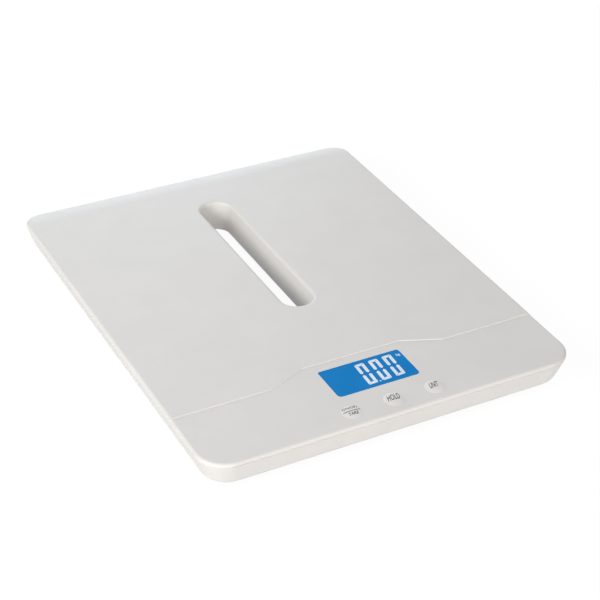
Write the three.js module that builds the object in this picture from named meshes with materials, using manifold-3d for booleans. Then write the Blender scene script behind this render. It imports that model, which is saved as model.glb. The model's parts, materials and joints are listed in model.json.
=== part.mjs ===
// Digital baby weighing scale: a flat two-shell case on four load cell feet, with a long grip slot,
// a flush display window and three push buttons. Millimetres, +Z up, the display end toward -Y,
// origin at the centre of the footprint on the surface that the feet stand on.
import * as THREE from 'three';
import { mergeVertices } from 'three/addons/utils/BufferGeometryUtils.js';
import Module from 'manifold-3d';

const wasm = await Module();
wasm.setup();

// Case
const bodyWidth = 280;
const bodyDepth = 341;
const shellHeight = 24;
const footProtrusion = 3;
const wall = 2.2;
const frontCornerRadius = 20.6;
const backCornerRadius = 15;
const cornerTaperShare = 0.5;
const skirtDepth = 3.2;
const skirtLand = 0.2;
const partingGap = 0.4;
const topEdgeRadius = 2.5;
const rollLength = 17;
const rollDrop = 1.4;
const flankRound = 16;
const flankDraftDegrees = 9;
const fitGap = 0.3;
const overrun = 2;

// Console step
const stepHeight = 0.5;
const stepSlope = 0.4;
const stepFrontInset = 58.3;
const stepJog = 11.7;
const stepOuterKnot = 66.9;
const stepInnerKnot = 38;

// Grip slot
const slotWidth = 24.2;
const slotBayGap = 18.5;
const slotBackInset = 44.3;
const slotEdgeRadius = 2.7;
const slotDraft = 1.1;
const sleeveWall = 2;
const collarWall = 1.6;
const collarHeight = 4;

// Inner rim and ribs of the top cover
const rimWall = 1.4;
const rimDepth = 3;
const ribWall = 1.6;
const ribDepth = 5.2;
const ribSideInset = 18;
const ribEndGap = 3;
const ribPitch = 48;
const ribInnerX = 50;
const ribOuterX = 88;

// Buttons and their switches
const consoleCentreX = 1.1;
const buttonDiameter = 14.6;
const buttonRimGap = 1.2;
const buttonPitch = 31.7;
const buttonHoleGap = 0.2;
const buttonDome = 0.8;
const buttonTravel = 0.5;
const buttonFlange = 1.1;
const buttonFlangeThickness = 1.4;
const stemRadius = 2;
const stemLength = 1.3;
const plungerRadius = 1.6;
const plungerSunk = 1;
const switchSide = 6;
const switchHeight = 3.5;

// Display window and the display under it
const windowWidth = 62.8;
const windowDepth = 31;
const windowButtonGap = 10.1;
const windowCornerRadius = 3;
const windowGap = 0.15;
const windowSunk = 0.08;
const windowFlange = 2;
const windowFlangeThickness = 1.2;
const lcdMargin = 0.8;
const lcdThickness = 2.2;
const holderWall = 1.6;

// Main board
const boardFrontMargin = 7.5;
const boardBossGap = 2.2;
const boardSideShare = 0.5;
const boardThickness = 1.6;
const boardScrewInset = 5;
const postRadius = 3.4;
const boardScrewShaft = 1.1;
const boardScrewHead = 2.4;
const boardScrewHeadHeight = 1.6;
const boardScrewLength = 6;
const headerWidth = 10;
const headerDepth = 6.5;
const headerWall = 0.8;
const headerGap = 1.6;
const headerHeadroom = 1.6;
const headerScrewGap = 9.6;
const controllerHeight = 1.6;
const controllerRadiusShare = 1 / 3;
const controllerInsetShare = 7 / 15;

// Feet and load cells
const footInsetX = 42;
const footInsetY = 40.5;
const footRimWall = 2;
const footRimHeight = 1.2;
const footDiscHeight = 5.2;
const footEdge = 1;
const footNeckRadius = 6;
const footPegRadius = 1.7;
const footHeadRadius = 2.8;
const footHeadHeight = 1;
const footTravel = 0.3;
const footTravelSpare = 0.05;
const footHoleGap = 0.6;
const padRadius = 13;
const padRecess = 0.8;
const padEdge = 0.5;
const cellSide = 34;
const cellThickness = 2.5;
const cellRise = 6;
const cellCornerRadius = 2;
const cellSlotWidth = 1.6;
const tongueHalfWidth = 8;
const gaugeHeight = 0.6;
const gaugeHalf = 3;
const cellRimWall = 2.4;
const cradleGaugeGap = 2;
const cradleThickness = 3;
const pressWall = 2;
const pressEdge = 0.5;

// Battery bay, door and contacts
const cellCount = 3;
const batteryRadius = 5.25;
const batteryLength = 44.5;
const batteryNubRadius = 1.9;
const batteryNub = 0.8;
const batteryGap = 0.5;
const contactRoom = 3.2;
const bayWall = 3.2;
const bayCeiling = 1.6;
const bayBoardGap = 7.3;
const doorThickness = 2;
const doorLap = 1.3;
const doorGap = 0.4;
const hingeRadius = 1.2;
const pinRadius = 0.7;
const pinLength = 2.4;
const hingeBlockHalf = 3.2;
const hingeBlockEnd = 1.6;
const hingeBlockHeight = 4;
const tabWidth = 16;
const tabReach = 3;
const tabThickness = 1.1;
const contactThickness = 0.5;
const contactSideGap = 2.6;
const contactEdgeGap = 1.5;
const springThickness = 0.4;
const springFlat = 1.5;
const lugWidth = 3;
const lugReach = 2;
const lugRise = 2.6;

// Case screws
const caseScrewShaft = 1.4;
const caseScrewHead = 2.8;
const caseScrewHeadHeight = 1.7;
const caseScrewLength = 11;
const screwPocketDepth = 4;
const screwPocketWall = 1.6;
const screwPocketRoof = 2;
const screwFootGap = 3.6;
const screwEndInset = 26;
const screwSideInset = 24;
const bossWall = 2;
const driveWidth = 0.8;
const driveDepth = 0.8;
const driveReachShare = 0.6;

// Leads
const leadRadius = 1.1;
const batteryLeadRadius = 0.8;

// Counts of segments and sides
const arcSteps = 5;
const cornerSteps = 6;
const smallCornerSteps = 2;
const roundSides = 24;
const smallSides = 12;
const leadSides = 8;
const leadStepDiameters = 3;

// Levels and edges of the case
const shellBottomZ = footProtrusion;
const floorZ = shellBottomZ + wall;
const floorMidZ = shellBottomZ + wall / 2;
const platformZ = shellBottomZ + shellHeight;
const consoleZ = platformZ - stepHeight;
const ceilingZ = consoleZ - wall;
const ceilingMidZ = consoleZ - wall / 2;
const partingZ = platformZ - skirtDepth;
const skirtBottomZ = partingZ + partingGap / 2;
const lipTopZ = partingZ - partingGap / 2;
const rimBottomZ = lipTopZ - rimDepth;
const frontY = -bodyDepth / 2;
const backY = bodyDepth / 2;
const sideX = bodyWidth / 2;

// Lower flank: a drafted wall that turns into the flat bottom through a large round
const draft = flankDraftDegrees * Math.PI / 180;
const flankCentreZ = shellBottomZ + flankRound;
const flankCentreInset = (flankRound + (partingZ - flankCentreZ) * Math.sin(draft)) / Math.cos(draft);

function flankInset(z, depth) {
  const radius = flankRound - depth;
  if (z > flankCentreZ - radius * Math.sin(draft)) {
    return (partingZ - z) * Math.tan(draft) + depth / Math.cos(draft);
  }
  return flankCentreInset - Math.sqrt(Math.max(radius ** 2 - (flankCentreZ - z) ** 2, 0));
}

const rimInset = flankInset(rimBottomZ, wall) + fitGap;
const hollowInset = rimInset + rimWall;

// Button places
const buttonRadius = buttonDiameter / 2;
const buttonY = frontY + hollowInset + buttonRimGap + buttonFlange + buttonRadius;
const buttons = ['tare', 'hold', 'unit'].map((name, i) => (
  { name, x: consoleCentreX + (i - 1) * buttonPitch, y: buttonY }
));

// Levels of the button, switch and board stack, worked down from the console
const capFlangeTopZ = ceilingZ - fitGap;
const capFlangeZ = capFlangeTopZ - buttonFlangeThickness;
const stemZ = capFlangeZ - stemLength;
const plungerTopZ = stemZ - fitGap;
const switchTopZ = plungerTopZ - buttonTravel - fitGap;
const switchZ = switchTopZ - switchHeight;
const boardTopZ = switchZ - fitGap;
const boardZ = boardTopZ - boardThickness;
const onBoardZ = boardTopZ + fitGap;

// Display stack
const windowFrontY = buttonY + buttonRadius + windowButtonGap;
const windowY = windowFrontY + windowDepth / 2;
const lensTopZ = consoleZ - windowSunk;
const lensFlangeTopZ = ceilingZ - fitGap;
const lensFlangeZ = lensFlangeTopZ - windowFlangeThickness;
const lcdTopZ = lensFlangeZ - fitGap;
const lcdZ = lcdTopZ - lcdThickness;
const lcdWidth = windowWidth + 2 * lcdMargin;
const lcdDepth = windowDepth + 2 * lcdMargin;
const holderInnerWidth = lcdWidth + 2 * fitGap;
const holderInnerDepth = lcdDepth + 2 * fitGap;
const holderWidth = holderInnerWidth + 2 * holderWall;
const holderDepth = holderInnerDepth + 2 * holderWall;

// Feet and load cells
const footX = sideX - footInsetX;
const footY = backY - footInsetY;
const corners = [
  ['front_left', -1, -1], ['front_right', 1, -1], ['back_left', -1, 1], ['back_right', 1, 1],
];
const feet = corners.map(([name, sx, sy]) => ({ name, sy, x: sx * footX, y: sy * footY }));
const footRadius = padRadius + footRimWall;
const cellSeatZ = shellBottomZ + cellRise;
const cellBottomZ = cellSeatZ + fitGap;
const cellTopZ = cellBottomZ + cellThickness;
const cellWell = cellSide + 2 * fitGap;
const cellBlock = cellWell + 2 * cellRimWall;
const cradleZ = cellTopZ + fitGap;
const cradleTopZ = cradleZ + cradleThickness;
const cradleSide = cellWell + cellRimWall;
const cradleInner = 2 * (tongueHalfWidth + gaugeHalf + cradleGaugeGap);
const pressSide = cradleSide - 2 * pressEdge;

// Case screws: one inward of each foot and one at the middle of each side
const pocketRadius = caseScrewHead + fitGap;
const pocketOuterRadius = pocketRadius + screwPocketWall;
const pocketTopZ = shellBottomZ + screwPocketDepth;
const pocketRoofZ = pocketTopZ + screwPocketRoof;
const caseScrewHole = caseScrewShaft + fitGap;
const bossRadius = caseScrewHole + bossWall;
const screwX = footX - cellBlock / 2 - screwFootGap - pocketOuterRadius;
const screwY = backY - screwEndInset;
const caseScrews = [
  ...corners.map(([name, sx, sy]) => ({ name, x: sx * screwX, y: sy * screwY })),
  { name: 'middle_left', x: screwSideInset - sideX, y: 0 },
  { name: 'middle_right', x: sideX - screwSideInset, y: 0 },
];

// Board outline, round the buttons, the display holder and the sensor headers
const headerFrontY = windowY + holderDepth / 2 + headerGap;
const headerBackY = headerFrontY + headerDepth;
const boardY0 = buttonY - boardFrontMargin;
const boardY1 = headerBackY + fitGap;
const boardRoom = screwX - bossRadius - boardBossGap - holderWidth / 2;
const boardSideMargin = boardRoom * boardSideShare;
const boardX0 = consoleCentreX - holderWidth / 2 - boardSideMargin;
const boardX1 = consoleCentreX + holderWidth / 2 + boardSideMargin;
const headerX = -boardX0 - boardScrewInset - boardScrewHead - headerScrewGap - headerWidth / 2;
const controllerRadius = boardSideMargin * controllerRadiusShare;
const controllerX = boardX0 + boardSideMargin * controllerInsetShare;
const boardScrews = [
  { name: 'left', x: boardX0 + boardScrewInset, y: boardY1 - boardScrewInset },
  { name: 'right', x: boardX1 - boardScrewInset, y: boardY1 - boardScrewInset },
  { name: 'front', x: consoleCentreX + buttonPitch / 2, y: (buttonY + windowY - holderDepth / 2) / 2 },
];
const boardScrewTipZ = onBoardZ - boardScrewLength;
const boardScrewHole = boardScrewShaft + fitGap;

// Battery bay behind the board, with the cells side by side across the case
const batteryPitch = 2 * batteryRadius + batteryGap;
const bayInnerX = batteryLength / 2 + contactRoom;
const bayInnerY = batteryPitch * cellCount / 2;
const bayOuterX = bayInnerX + bayWall;
const bayOuterY = bayInnerY + bayWall;
const bayY = boardY1 + bayBoardGap + bayOuterY;
const rabbetZ = shellBottomZ + doorThickness + fitGap;
const batteryZ = rabbetZ + batteryRadius;
const bayTopZ = batteryZ + batteryRadius + fitGap;
const doorX = bayInnerX + doorLap;
const doorY = bayInnerY + doorLap;
const hingeY = bayY + doorY - hingeRadius;
const hingeZ = shellBottomZ + hingeRadius;
const lugZ = batteryZ + lugRise;
const batteries = Array.from({ length: cellCount }, (_, i) => (
  { y: bayY + (i - (cellCount - 1) / 2) * batteryPitch, way: i % 2 === 0 ? 1 : -1 }
));

// Contacts: one at each end of the chain of cells and one at each link between two of them
const contactOuterX = bayInnerX - fitGap;
const contactInnerX = contactOuterX - contactThickness;
const contactMidX = contactOuterX - contactThickness / 2;
const contactWidth = batteryPitch - contactSideGap;
const contactHalfHeight = batteryRadius - contactEdgeGap / 2;
const contacts = [
  { name: 'contact_positive', side: 1, members: [0], lug: true },
  { name: 'contact_link_left', side: -1, members: [0, 1], lug: false },
  { name: 'contact_link_right', side: 1, members: [1, 2], lug: false },
  { name: 'contact_negative', side: -1, members: [2], lug: true },
];

// Grip slot between the battery bay and the back edge
const slotFrontY = bayY + bayOuterY + slotBayGap;
const slotBackY = backY - slotBackInset;
const slotCentreY = (slotFrontY + slotBackY) / 2;
const slotHalfWidth = slotWidth / 2;
const slotHalfLength = (slotBackY - slotFrontY) / 2;

// Closed solids for cutting and joining
function solidOf(geometry) {
  const plain = geometry.clone();
  plain.deleteAttribute('normal');
  plain.deleteAttribute('uv');
  const merged = mergeVertices(plain);
  return new wasm.Manifold(new wasm.Mesh({
    numProp: 3,
    vertProperties: new Float32Array(merged.attributes.position.array),
    triVerts: new Uint32Array(merged.index.array),
  }));
}

function geometryOf(solid) {
  const mesh = solid.getMesh();
  const geometry = new THREE.BufferGeometry();
  geometry.setAttribute('position', new THREE.BufferAttribute(mesh.vertProperties, 3));
  geometry.setIndex(new THREE.BufferAttribute(mesh.triVerts, 1));
  return geometry;
}

function union(solids) {
  return solids.reduce((sum, solid) => sum.add(solid));
}

// Flat shapes and the solids drawn up from them
function roundedRect(width, depth, radius, x, y) {
  const left = x - width / 2 + radius;
  const right = x + width / 2 - radius;
  const front = y - depth / 2 + radius;
  const back = y + depth / 2 - radius;
  const shape = new THREE.Shape();
  shape.absarc(right, front, radius, -Math.PI / 2, 0);
  shape.absarc(right, back, radius, 0, Math.PI / 2);
  shape.absarc(left, back, radius, Math.PI / 2, Math.PI);
  shape.absarc(left, front, radius, Math.PI, Math.PI * 1.5);
  return shape;
}

function polygon(points) {
  return new THREE.Shape(points.map(([x, y]) => new THREE.Vector2(x, y)));
}

function prism(shape, z0, z1) {
  const geometry = new THREE.ExtrudeGeometry(shape, {
    depth: z1 - z0, bevelEnabled: false, curveSegments: smallCornerSteps,
  });
  return solidOf(geometry.translate(0, 0, z0));
}

function squareRing(outer, inner, z0, z1, x, y) {
  const shape = roundedRect(outer, outer, cellCornerRadius, x, y);
  shape.holes.push(roundedRect(inner, inner, cellCornerRadius, x, y));
  return prism(shape, z0, z1);
}

function block([xa, xb], [ya, yb], [za, zb]) {
  const geometry = new THREE.BoxGeometry(Math.abs(xb - xa), Math.abs(yb - ya), Math.abs(zb - za));
  return solidOf(geometry.translate((xa + xb) / 2, (ya + yb) / 2, (za + zb) / 2));
}

function around(centre, half) {
  return [centre - half, centre + half];
}

function turnedGeometry(profile, sides) {
  const points = profile.map(([r, z]) => new THREE.Vector2(r, z));
  return new THREE.LatheGeometry(points, sides).rotateX(Math.PI / 2);
}

function turned(profile, x, y, sides = smallSides) {
  return solidOf(turnedGeometry(profile, sides).translate(x, y, 0));
}

function cylinder(radius, z0, z1, x, y, sides = smallSides) {
  return turned([[0, z0], [radius, z0], [radius, z1], [0, z1]], x, y, sides);
}

function rodAlongX(radius, halfLength, y, z) {
  const geometry = new THREE.CylinderGeometry(radius, radius, 2 * halfLength, smallSides);
  return solidOf(geometry.rotateZ(Math.PI / 2).translate(0, y, z));
}

// A closed skin over rings of equal point counts, listed from the bottom up
function loft(rings, capTriangles) {
  const count = rings[0].length;
  const index = [];
  for (let start = 0; start < (rings.length - 1) * count; start += count) {
    for (let i = 0; i < count; i += 1) {
      const a = start + i;
      const b = start + (i + 1) % count;
      index.push(a, b, b + count, a, b + count, a + count);
    }
  }
  const top = (rings.length - 1) * count;
  for (const [a, b, c] of capTriangles) {
    index.push(a, c, b, top + a, top + b, top + c);
  }
  const geometry = new THREE.BufferGeometry();
  geometry.setAttribute('position', new THREE.Float32BufferAttribute(rings.flat(2), 3));
  geometry.setIndex(index);
  return solidOf(geometry);
}

function flatLoft(rings) {
  const contour = rings[0].map(([x, y]) => new THREE.Vector2(x, y));
  return loft(rings, THREE.ShapeUtils.triangulateShape(contour, []));
}

// Case outline: its right half from the front edge to the back edge, then the mirrored left half
function outlineRing(inset, heightAt) {
  const taper = inset * cornerTaperShare;
  const front = frontCornerRadius - taper;
  const back = backCornerRadius - taper;
  const x = sideX - inset;
  const y0 = frontY + inset + front;
  const y1 = backY - inset - back;
  const half = [];
  for (let i = 0; i <= cornerSteps; i += 1) {
    const angle = (i / cornerSteps - 1) * Math.PI / 2;
    half.push([x - front + front * Math.cos(angle), y0 + front * Math.sin(angle)]);
  }
  half.push([x, Math.min(backY - rollLength, y1 - fitGap)]);
  for (let i = 0; i <= cornerSteps; i += 1) {
    const angle = i / cornerSteps * Math.PI / 2;
    half.push([x - back + back * Math.cos(angle), y1 + back * Math.sin(angle)]);
  }
  const mirrored = half.map(([px, py]) => [-px, py]).reverse();
  return [...half, ...mirrored].map(([px, py]) => [px, py, heightAt(py)]);
}

// Its caps are strips from each point of the right half to its mirror image
function outlineLoft(profile) {
  const rings = profile.map(([inset, heightAt]) => outlineRing(inset, heightAt));
  const last = rings[0].length - 1;
  const strips = [];
  for (let i = 0; i < (last - 1) / 2; i += 1) {
    strips.push([i, i + 1, last - i - 1], [i, last - i - 1, last - i]);
  }
  return loft(rings, strips);
}

function level(z) {
  return () => z;
}

function straightLoft(inset, z0, z1) {
  return outlineLoft([[inset, level(z0)], [inset, level(z1)]]);
}

function flankProfile(depth, topZ) {
  const radius = flankRound - depth;
  const profile = [];
  for (let i = 0; i <= arcSteps; i += 1) {
    const angle = Math.PI / 2 + (draft - Math.PI / 2) * i / arcSteps;
    profile.push([
      flankCentreInset - radius * Math.cos(angle), level(flankCentreZ - radius * Math.sin(angle)),
    ]);
  }
  profile.push([flankInset(topZ, depth), level(topZ)]);
  return profile;
}

// Top cover
function rollAt(y) {
  return rollDrop * (Math.max(y - (backY - rollLength), 0) / rollLength) ** 2;
}

function coverBody(topZ) {
  const rise = Math.min(topEdgeRadius, topZ - skirtBottomZ - skirtLand);
  const profile = [[0, level(skirtBottomZ)]];
  for (let i = 0; i <= arcSteps; i += 1) {
    const angle = i / arcSteps * Math.PI / 2;
    const heightAt = (y) => topZ - rise + (rise - rollAt(y)) * Math.sin(angle);
    profile.push([topEdgeRadius * (1 - Math.cos(angle)), heightAt]);
  }
  return outlineLoft(profile);
}

function stepRing(shift, z) {
  const side = sideX + overrun;
  const outerY = frontY + stepFrontInset + shift;
  const innerY = outerY + stepJog;
  const endY = backY + overrun;
  const front = [
    [-side, outerY], [-stepOuterKnot, outerY], [-stepInnerKnot, innerY],
    [stepInnerKnot, innerY], [stepOuterKnot, outerY], [side, outerY],
  ];
  return [...front, [side, endY], [-side, endY]].map(([x, y]) => [x, y, z]);
}

function stadiumRing(grow, z) {
  const radius = slotHalfWidth + grow;
  const reach = slotHalfLength - slotHalfWidth;
  const points = [];
  for (const way of [1, -1]) {
    for (let i = 0; i <= 2 * cornerSteps; i += 1) {
      const angle = i / (2 * cornerSteps) * Math.PI;
      points.push([way * radius * Math.cos(angle), slotCentreY + way * (reach + radius * Math.sin(angle)), z]);
    }
  }
  return points;
}

function stadium(grow, z0, z1) {
  return flatLoft([stadiumRing(grow, z0), stadiumRing(grow, z1)]);
}

function slotCutter() {
  const rings = [
    stadiumRing(-slotDraft, shellBottomZ - overrun),
    stadiumRing(-slotDraft, shellBottomZ),
  ];
  for (let i = 0; i <= arcSteps; i += 1) {
    const angle = i / arcSteps * Math.PI / 2;
    rings.push(stadiumRing(
      slotEdgeRadius * (1 - Math.cos(angle)), platformZ - slotEdgeRadius * (1 - Math.sin(angle)),
    ));
  }
  rings.push(stadiumRing(slotEdgeRadius, platformZ + overrun));
  return flatLoft(rings);
}

function coverRibs() {
  const y0 = bayY + bayOuterY + ribEndGap;
  const y1 = footY - cradleSide / 2 - ribEndGap;
  const z = [ceilingZ - ribDepth, ceilingMidZ];
  const ribs = [-ribOuterX, -ribInnerX, ribInnerX, ribOuterX].map((x) => (
    block(around(x, ribWall / 2), [y0, y1], z)
  ));
  for (let y = y0 + ribWall / 2; y < y1; y += ribPitch) {
    ribs.push(block(around(0, sideX - ribSideInset), around(y, ribWall / 2), z));
  }
  return union(ribs);
}

function topCover() {
  const behindStep = flatLoft([
    stepRing(0, shellBottomZ), stepRing(0, consoleZ),
    stepRing(stepSlope, platformZ), stepRing(stepSlope, platformZ + overrun),
  ]);
  const skin = coverBody(consoleZ)
    .add(coverBody(platformZ).intersect(behindStep))
    .subtract(straightLoft(hollowInset, skirtBottomZ - overrun, ceilingZ));
  const rim = straightLoft(rimInset, rimBottomZ, ceilingMidZ)
    .subtract(straightLoft(hollowInset, rimBottomZ - overrun, ceilingZ));
  const bosses = caseScrews.map(({ x, y }) => (
    cylinder(bossRadius, pocketRoofZ + fitGap, ceilingMidZ, x, y)
  ));
  const presses = feet.map(({ x, y }) => (
    squareRing(pressSide, pressSide - 2 * pressWall, cradleTopZ + fitGap, ceilingMidZ, x, y)
  ));
  const sleeve = stadium(sleeveWall, shellBottomZ, ceilingMidZ);
  const cutters = [
    slotCutter(),
    prism(
      roundedRect(windowWidth, windowDepth, windowCornerRadius, consoleCentreX, windowY),
      ceilingZ - overrun, consoleZ + overrun,
    ),
    ...buttons.map(({ x, y }) => cylinder(
      buttonRadius + buttonHoleGap, ceilingZ - overrun, consoleZ + overrun, x, y, roundSides,
    )),
    ...caseScrews.map(({ x, y }) => (
      cylinder(caseScrewHole, pocketRoofZ, pocketTopZ + caseScrewLength + fitGap, x, y)
    )),
  ];
  return union([skin, rim, coverRibs(), ...bosses, ...presses, sleeve]).subtract(union(cutters));
}

// Bottom cover: the tray with its slot collar, foot blocks, screw tubes, board posts and battery bay
function bottomCover() {
  const tray = outlineLoft(flankProfile(0, lipTopZ))
    .subtract(outlineLoft(flankProfile(wall, lipTopZ + overrun)));
  const sleeveHole = sleeveWall + fitGap;
  const solids = [
    stadium(sleeveHole + collarWall, floorMidZ, floorZ + collarHeight),
    block(around(0, bayOuterX), around(bayY, bayOuterY), [floorMidZ, bayTopZ + bayCeiling]),
  ];
  const holes = [
    stadium(sleeveHole, shellBottomZ - overrun, floorZ + collarHeight + overrun),
    block(around(0, bayInnerX), around(bayY, bayInnerY), [shellBottomZ - overrun, bayTopZ]),
    block(around(0, doorX + doorGap), around(bayY, doorY + doorGap), [shellBottomZ - overrun, rabbetZ]),
    block(
      around(0, doorX + doorGap), around(hingeY, hingeRadius + doorGap),
      [shellBottomZ, hingeZ + hingeRadius + fitGap],
    ),
    prism(
      roundedRect(tabWidth + 2 * tabReach, 4 * tabReach, tabReach, 0, bayY - doorY - doorGap),
      shellBottomZ - overrun, shellBottomZ + tabThickness + fitGap,
    ),
  ];
  for (const { sy, x, y } of feet) {
    solids.push(prism(roundedRect(cellBlock, cellBlock, cellCornerRadius, x, y), floorMidZ, cellTopZ));
    holes.push(
      prism(roundedRect(cellWell, cellWell, cellCornerRadius, x, y), cellSeatZ, cellTopZ + overrun),
      cylinder(footRadius + footHoleGap, shellBottomZ - overrun, cellTopZ, x, y, roundSides),
      block(around(x, leadRadius + fitGap), [y, y - sy * cellBlock], [cellSeatZ, cellTopZ + overrun]),
    );
  }
  for (const { x, y } of caseScrews) {
    solids.push(cylinder(pocketOuterRadius, floorMidZ, pocketRoofZ, x, y));
    holes.push(
      cylinder(pocketRadius, shellBottomZ - overrun, pocketTopZ, x, y),
      cylinder(caseScrewHole, shellBottomZ, pocketRoofZ + overrun, x, y),
    );
  }
  for (const { x, y } of boardScrews) {
    solids.push(cylinder(postRadius, floorMidZ, boardZ - fitGap, x, y));
    holes.push(cylinder(boardScrewHole, boardScrewTipZ - fitGap, boardZ + overrun, x, y));
  }
  const pinReach = doorX + doorGap + pinLength;
  for (const side of [-1, 1]) {
    solids.push(block(
      [side * bayInnerX, side * (pinReach + hingeBlockEnd)],
      around(hingeY, hingeBlockHalf), [floorMidZ, shellBottomZ + hingeBlockHeight],
    ));
  }
  holes.push(rodAlongX(pinRadius + fitGap, pinReach, hingeY, hingeZ));
  for (const { side, members } of contacts.filter(({ lug }) => lug)) {
    holes.push(block(
      [side * contactOuterX, side * (bayOuterX + overrun)],
      around(batteries[members[0]].y, lugWidth / 2 + fitGap), around(lugZ, contactThickness / 2 + fitGap),
    ));
  }
  return tray.add(union(solids)).subtract(union(holes));
}

function batteryDoor() {
  const plate = block([-doorX, doorX], [bayY - doorY, hingeY], [shellBottomZ, shellBottomZ + doorThickness]);
  const barrel = rodAlongX(hingeRadius, doorX, hingeY, hingeZ);
  const pins = rodAlongX(pinRadius, doorX + doorGap + pinLength - fitGap, hingeY, hingeZ);
  const tab = prism(
    roundedRect(tabWidth, 2 * tabReach, tabReach / 2, 0, bayY - doorY),
    shellBottomZ, shellBottomZ + tabThickness,
  );
  return union([plate, barrel, pins, tab]);
}

function battery({ y, way }) {
  const half = batteryLength / 2;
  const profile = [
    [0, -half], [batteryRadius - fitGap, -half], [batteryRadius, fitGap - half],
    [batteryRadius, half - fitGap], [batteryRadius - fitGap, half], [batteryNubRadius, half],
    [batteryNubRadius, half + batteryNub], [0, half + batteryNub],
  ];
  return turnedGeometry(profile, smallSides).rotateY(way * Math.PI / 2).translate(0, y, batteryZ);
}

// A raised bump that meets a cell's nub, and a bowed leaf that meets a cell's flat end
function contactBump(y) {
  const tip = batteryLength / 2 + batteryNub + fitGap;
  const geometry = new THREE.CylinderGeometry(
    batteryNubRadius, batteryNubRadius / 2, contactMidX - tip, smallSides,
  );
  return solidOf(geometry.rotateZ(-Math.PI / 2).translate((tip + contactMidX) / 2, y, batteryZ));
}

function contactSpring(y) {
  const tip = batteryLength / 2 + fitGap;
  const foot = contactHalfHeight - springThickness;
  const leaf = polygon([
    [contactMidX, -foot - springThickness], [contactMidX, -foot], [tip + springThickness, -springFlat],
    [tip + springThickness, springFlat], [contactMidX, foot], [contactMidX, foot + springThickness],
    [tip, springFlat], [tip, -springFlat],
  ]);
  const geometry = new THREE.ExtrudeGeometry(leaf, { depth: contactWidth / 2, bevelEnabled: false });
  return solidOf(geometry.rotateX(Math.PI / 2).translate(0, y + contactWidth / 4, batteryZ));
}

function contact({ side, members, lug }) {
  const rows = members.map((i) => batteries[i]);
  const first = rows[0].y;
  const last = rows[rows.length - 1].y;
  const solids = [block(
    [contactInnerX, contactOuterX], [first - contactWidth / 2, last + contactWidth / 2],
    around(batteryZ, contactHalfHeight),
  )];
  for (const { y, way } of rows) {
    solids.push(way === side ? contactBump(y) : contactSpring(y));
  }
  if (lug) {
    solids.push(block(
      [contactMidX, bayOuterX + lugReach], around(first, lugWidth / 2), around(lugZ, contactThickness / 2),
    ));
  }
  const solid = union(solids);
  return side > 0 ? solid : solid.mirror([1, 0, 0]);
}

// Display
function displayWindow() {
  const lens = prism(roundedRect(
    windowWidth - 2 * windowGap, windowDepth - 2 * windowGap, windowCornerRadius - windowGap,
    consoleCentreX, windowY,
  ), lensFlangeZ, lensTopZ);
  return lens.add(prism(roundedRect(
    windowWidth + 2 * windowFlange, windowDepth + 2 * windowFlange, windowCornerRadius,
    consoleCentreX, windowY,
  ), lensFlangeZ, lensFlangeTopZ));
}

function displayPlate(z0, z1) {
  return prism(roundedRect(lcdWidth, lcdDepth, fitGap, consoleCentreX, windowY), z0, z1);
}

function lcdHolder() {
  const shape = roundedRect(holderWidth, holderDepth, holderWall, consoleCentreX, windowY);
  shape.holes.push(roundedRect(holderInnerWidth, holderInnerDepth, fitGap, consoleCentreX, windowY));
  return prism(shape, onBoardZ, lcdTopZ);
}

// Board and what it carries
function mainBoard() {
  const holes = boardScrews.map(({ x, y }) => (
    cylinder(boardScrewHole, boardZ - overrun, boardTopZ + overrun, x, y)
  ));
  return block([boardX0, boardX1], [boardY0, boardY1], [boardZ, boardTopZ]).subtract(union(holes));
}

function controller() {
  const profile = [[0, onBoardZ]];
  for (let i = 0; i < arcSteps; i += 1) {
    const angle = i / arcSteps * Math.PI / 2;
    profile.push([controllerRadius * Math.cos(angle), onBoardZ + controllerHeight * Math.sin(angle)]);
  }
  profile.push([0, onBoardZ + controllerHeight]);
  return turned(profile, controllerX, windowY);
}

function header(side) {
  const x = side * headerX;
  const topZ = ceilingZ - headerHeadroom;
  const shell = block(around(x, headerWidth / 2), [headerFrontY, headerBackY], [onBoardZ, topZ]);
  return shell.subtract(block(
    around(x, headerWidth / 2 - headerWall), [headerFrontY + headerWall, headerBackY - headerWall],
    [onBoardZ + headerWall, topZ + overrun],
  ));
}

// Buttons: a domed cap with a retaining flange and a stem, over a switch with its plunger
function buttonCap({ x, y }) {
  const profile = [
    [0, stemZ], [stemRadius, stemZ], [stemRadius, capFlangeZ],
    [buttonRadius + buttonFlange, capFlangeZ], [buttonRadius + buttonFlange, capFlangeTopZ],
    [buttonRadius, capFlangeTopZ],
  ];
  for (let i = 0; i <= arcSteps; i += 1) {
    const share = i / arcSteps;
    profile.push([buttonRadius * (1 - share), consoleZ + buttonDome * (1 - (1 - share) ** 2)]);
  }
  return turned(profile, x, y, roundSides);
}

function plunger({ x, y }) {
  return cylinder(plungerRadius, switchTopZ - plungerSunk, plungerTopZ, x, y);
}

function switchHousing({ x, y }) {
  const body = block(around(x, switchSide / 2), around(y, switchSide / 2), [switchZ, switchTopZ]);
  const boreZ = switchTopZ - plungerSunk - buttonTravel - fitGap;
  return body.subtract(cylinder(plungerRadius + fitGap, boreZ, switchTopZ + overrun, x, y));
}

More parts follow.
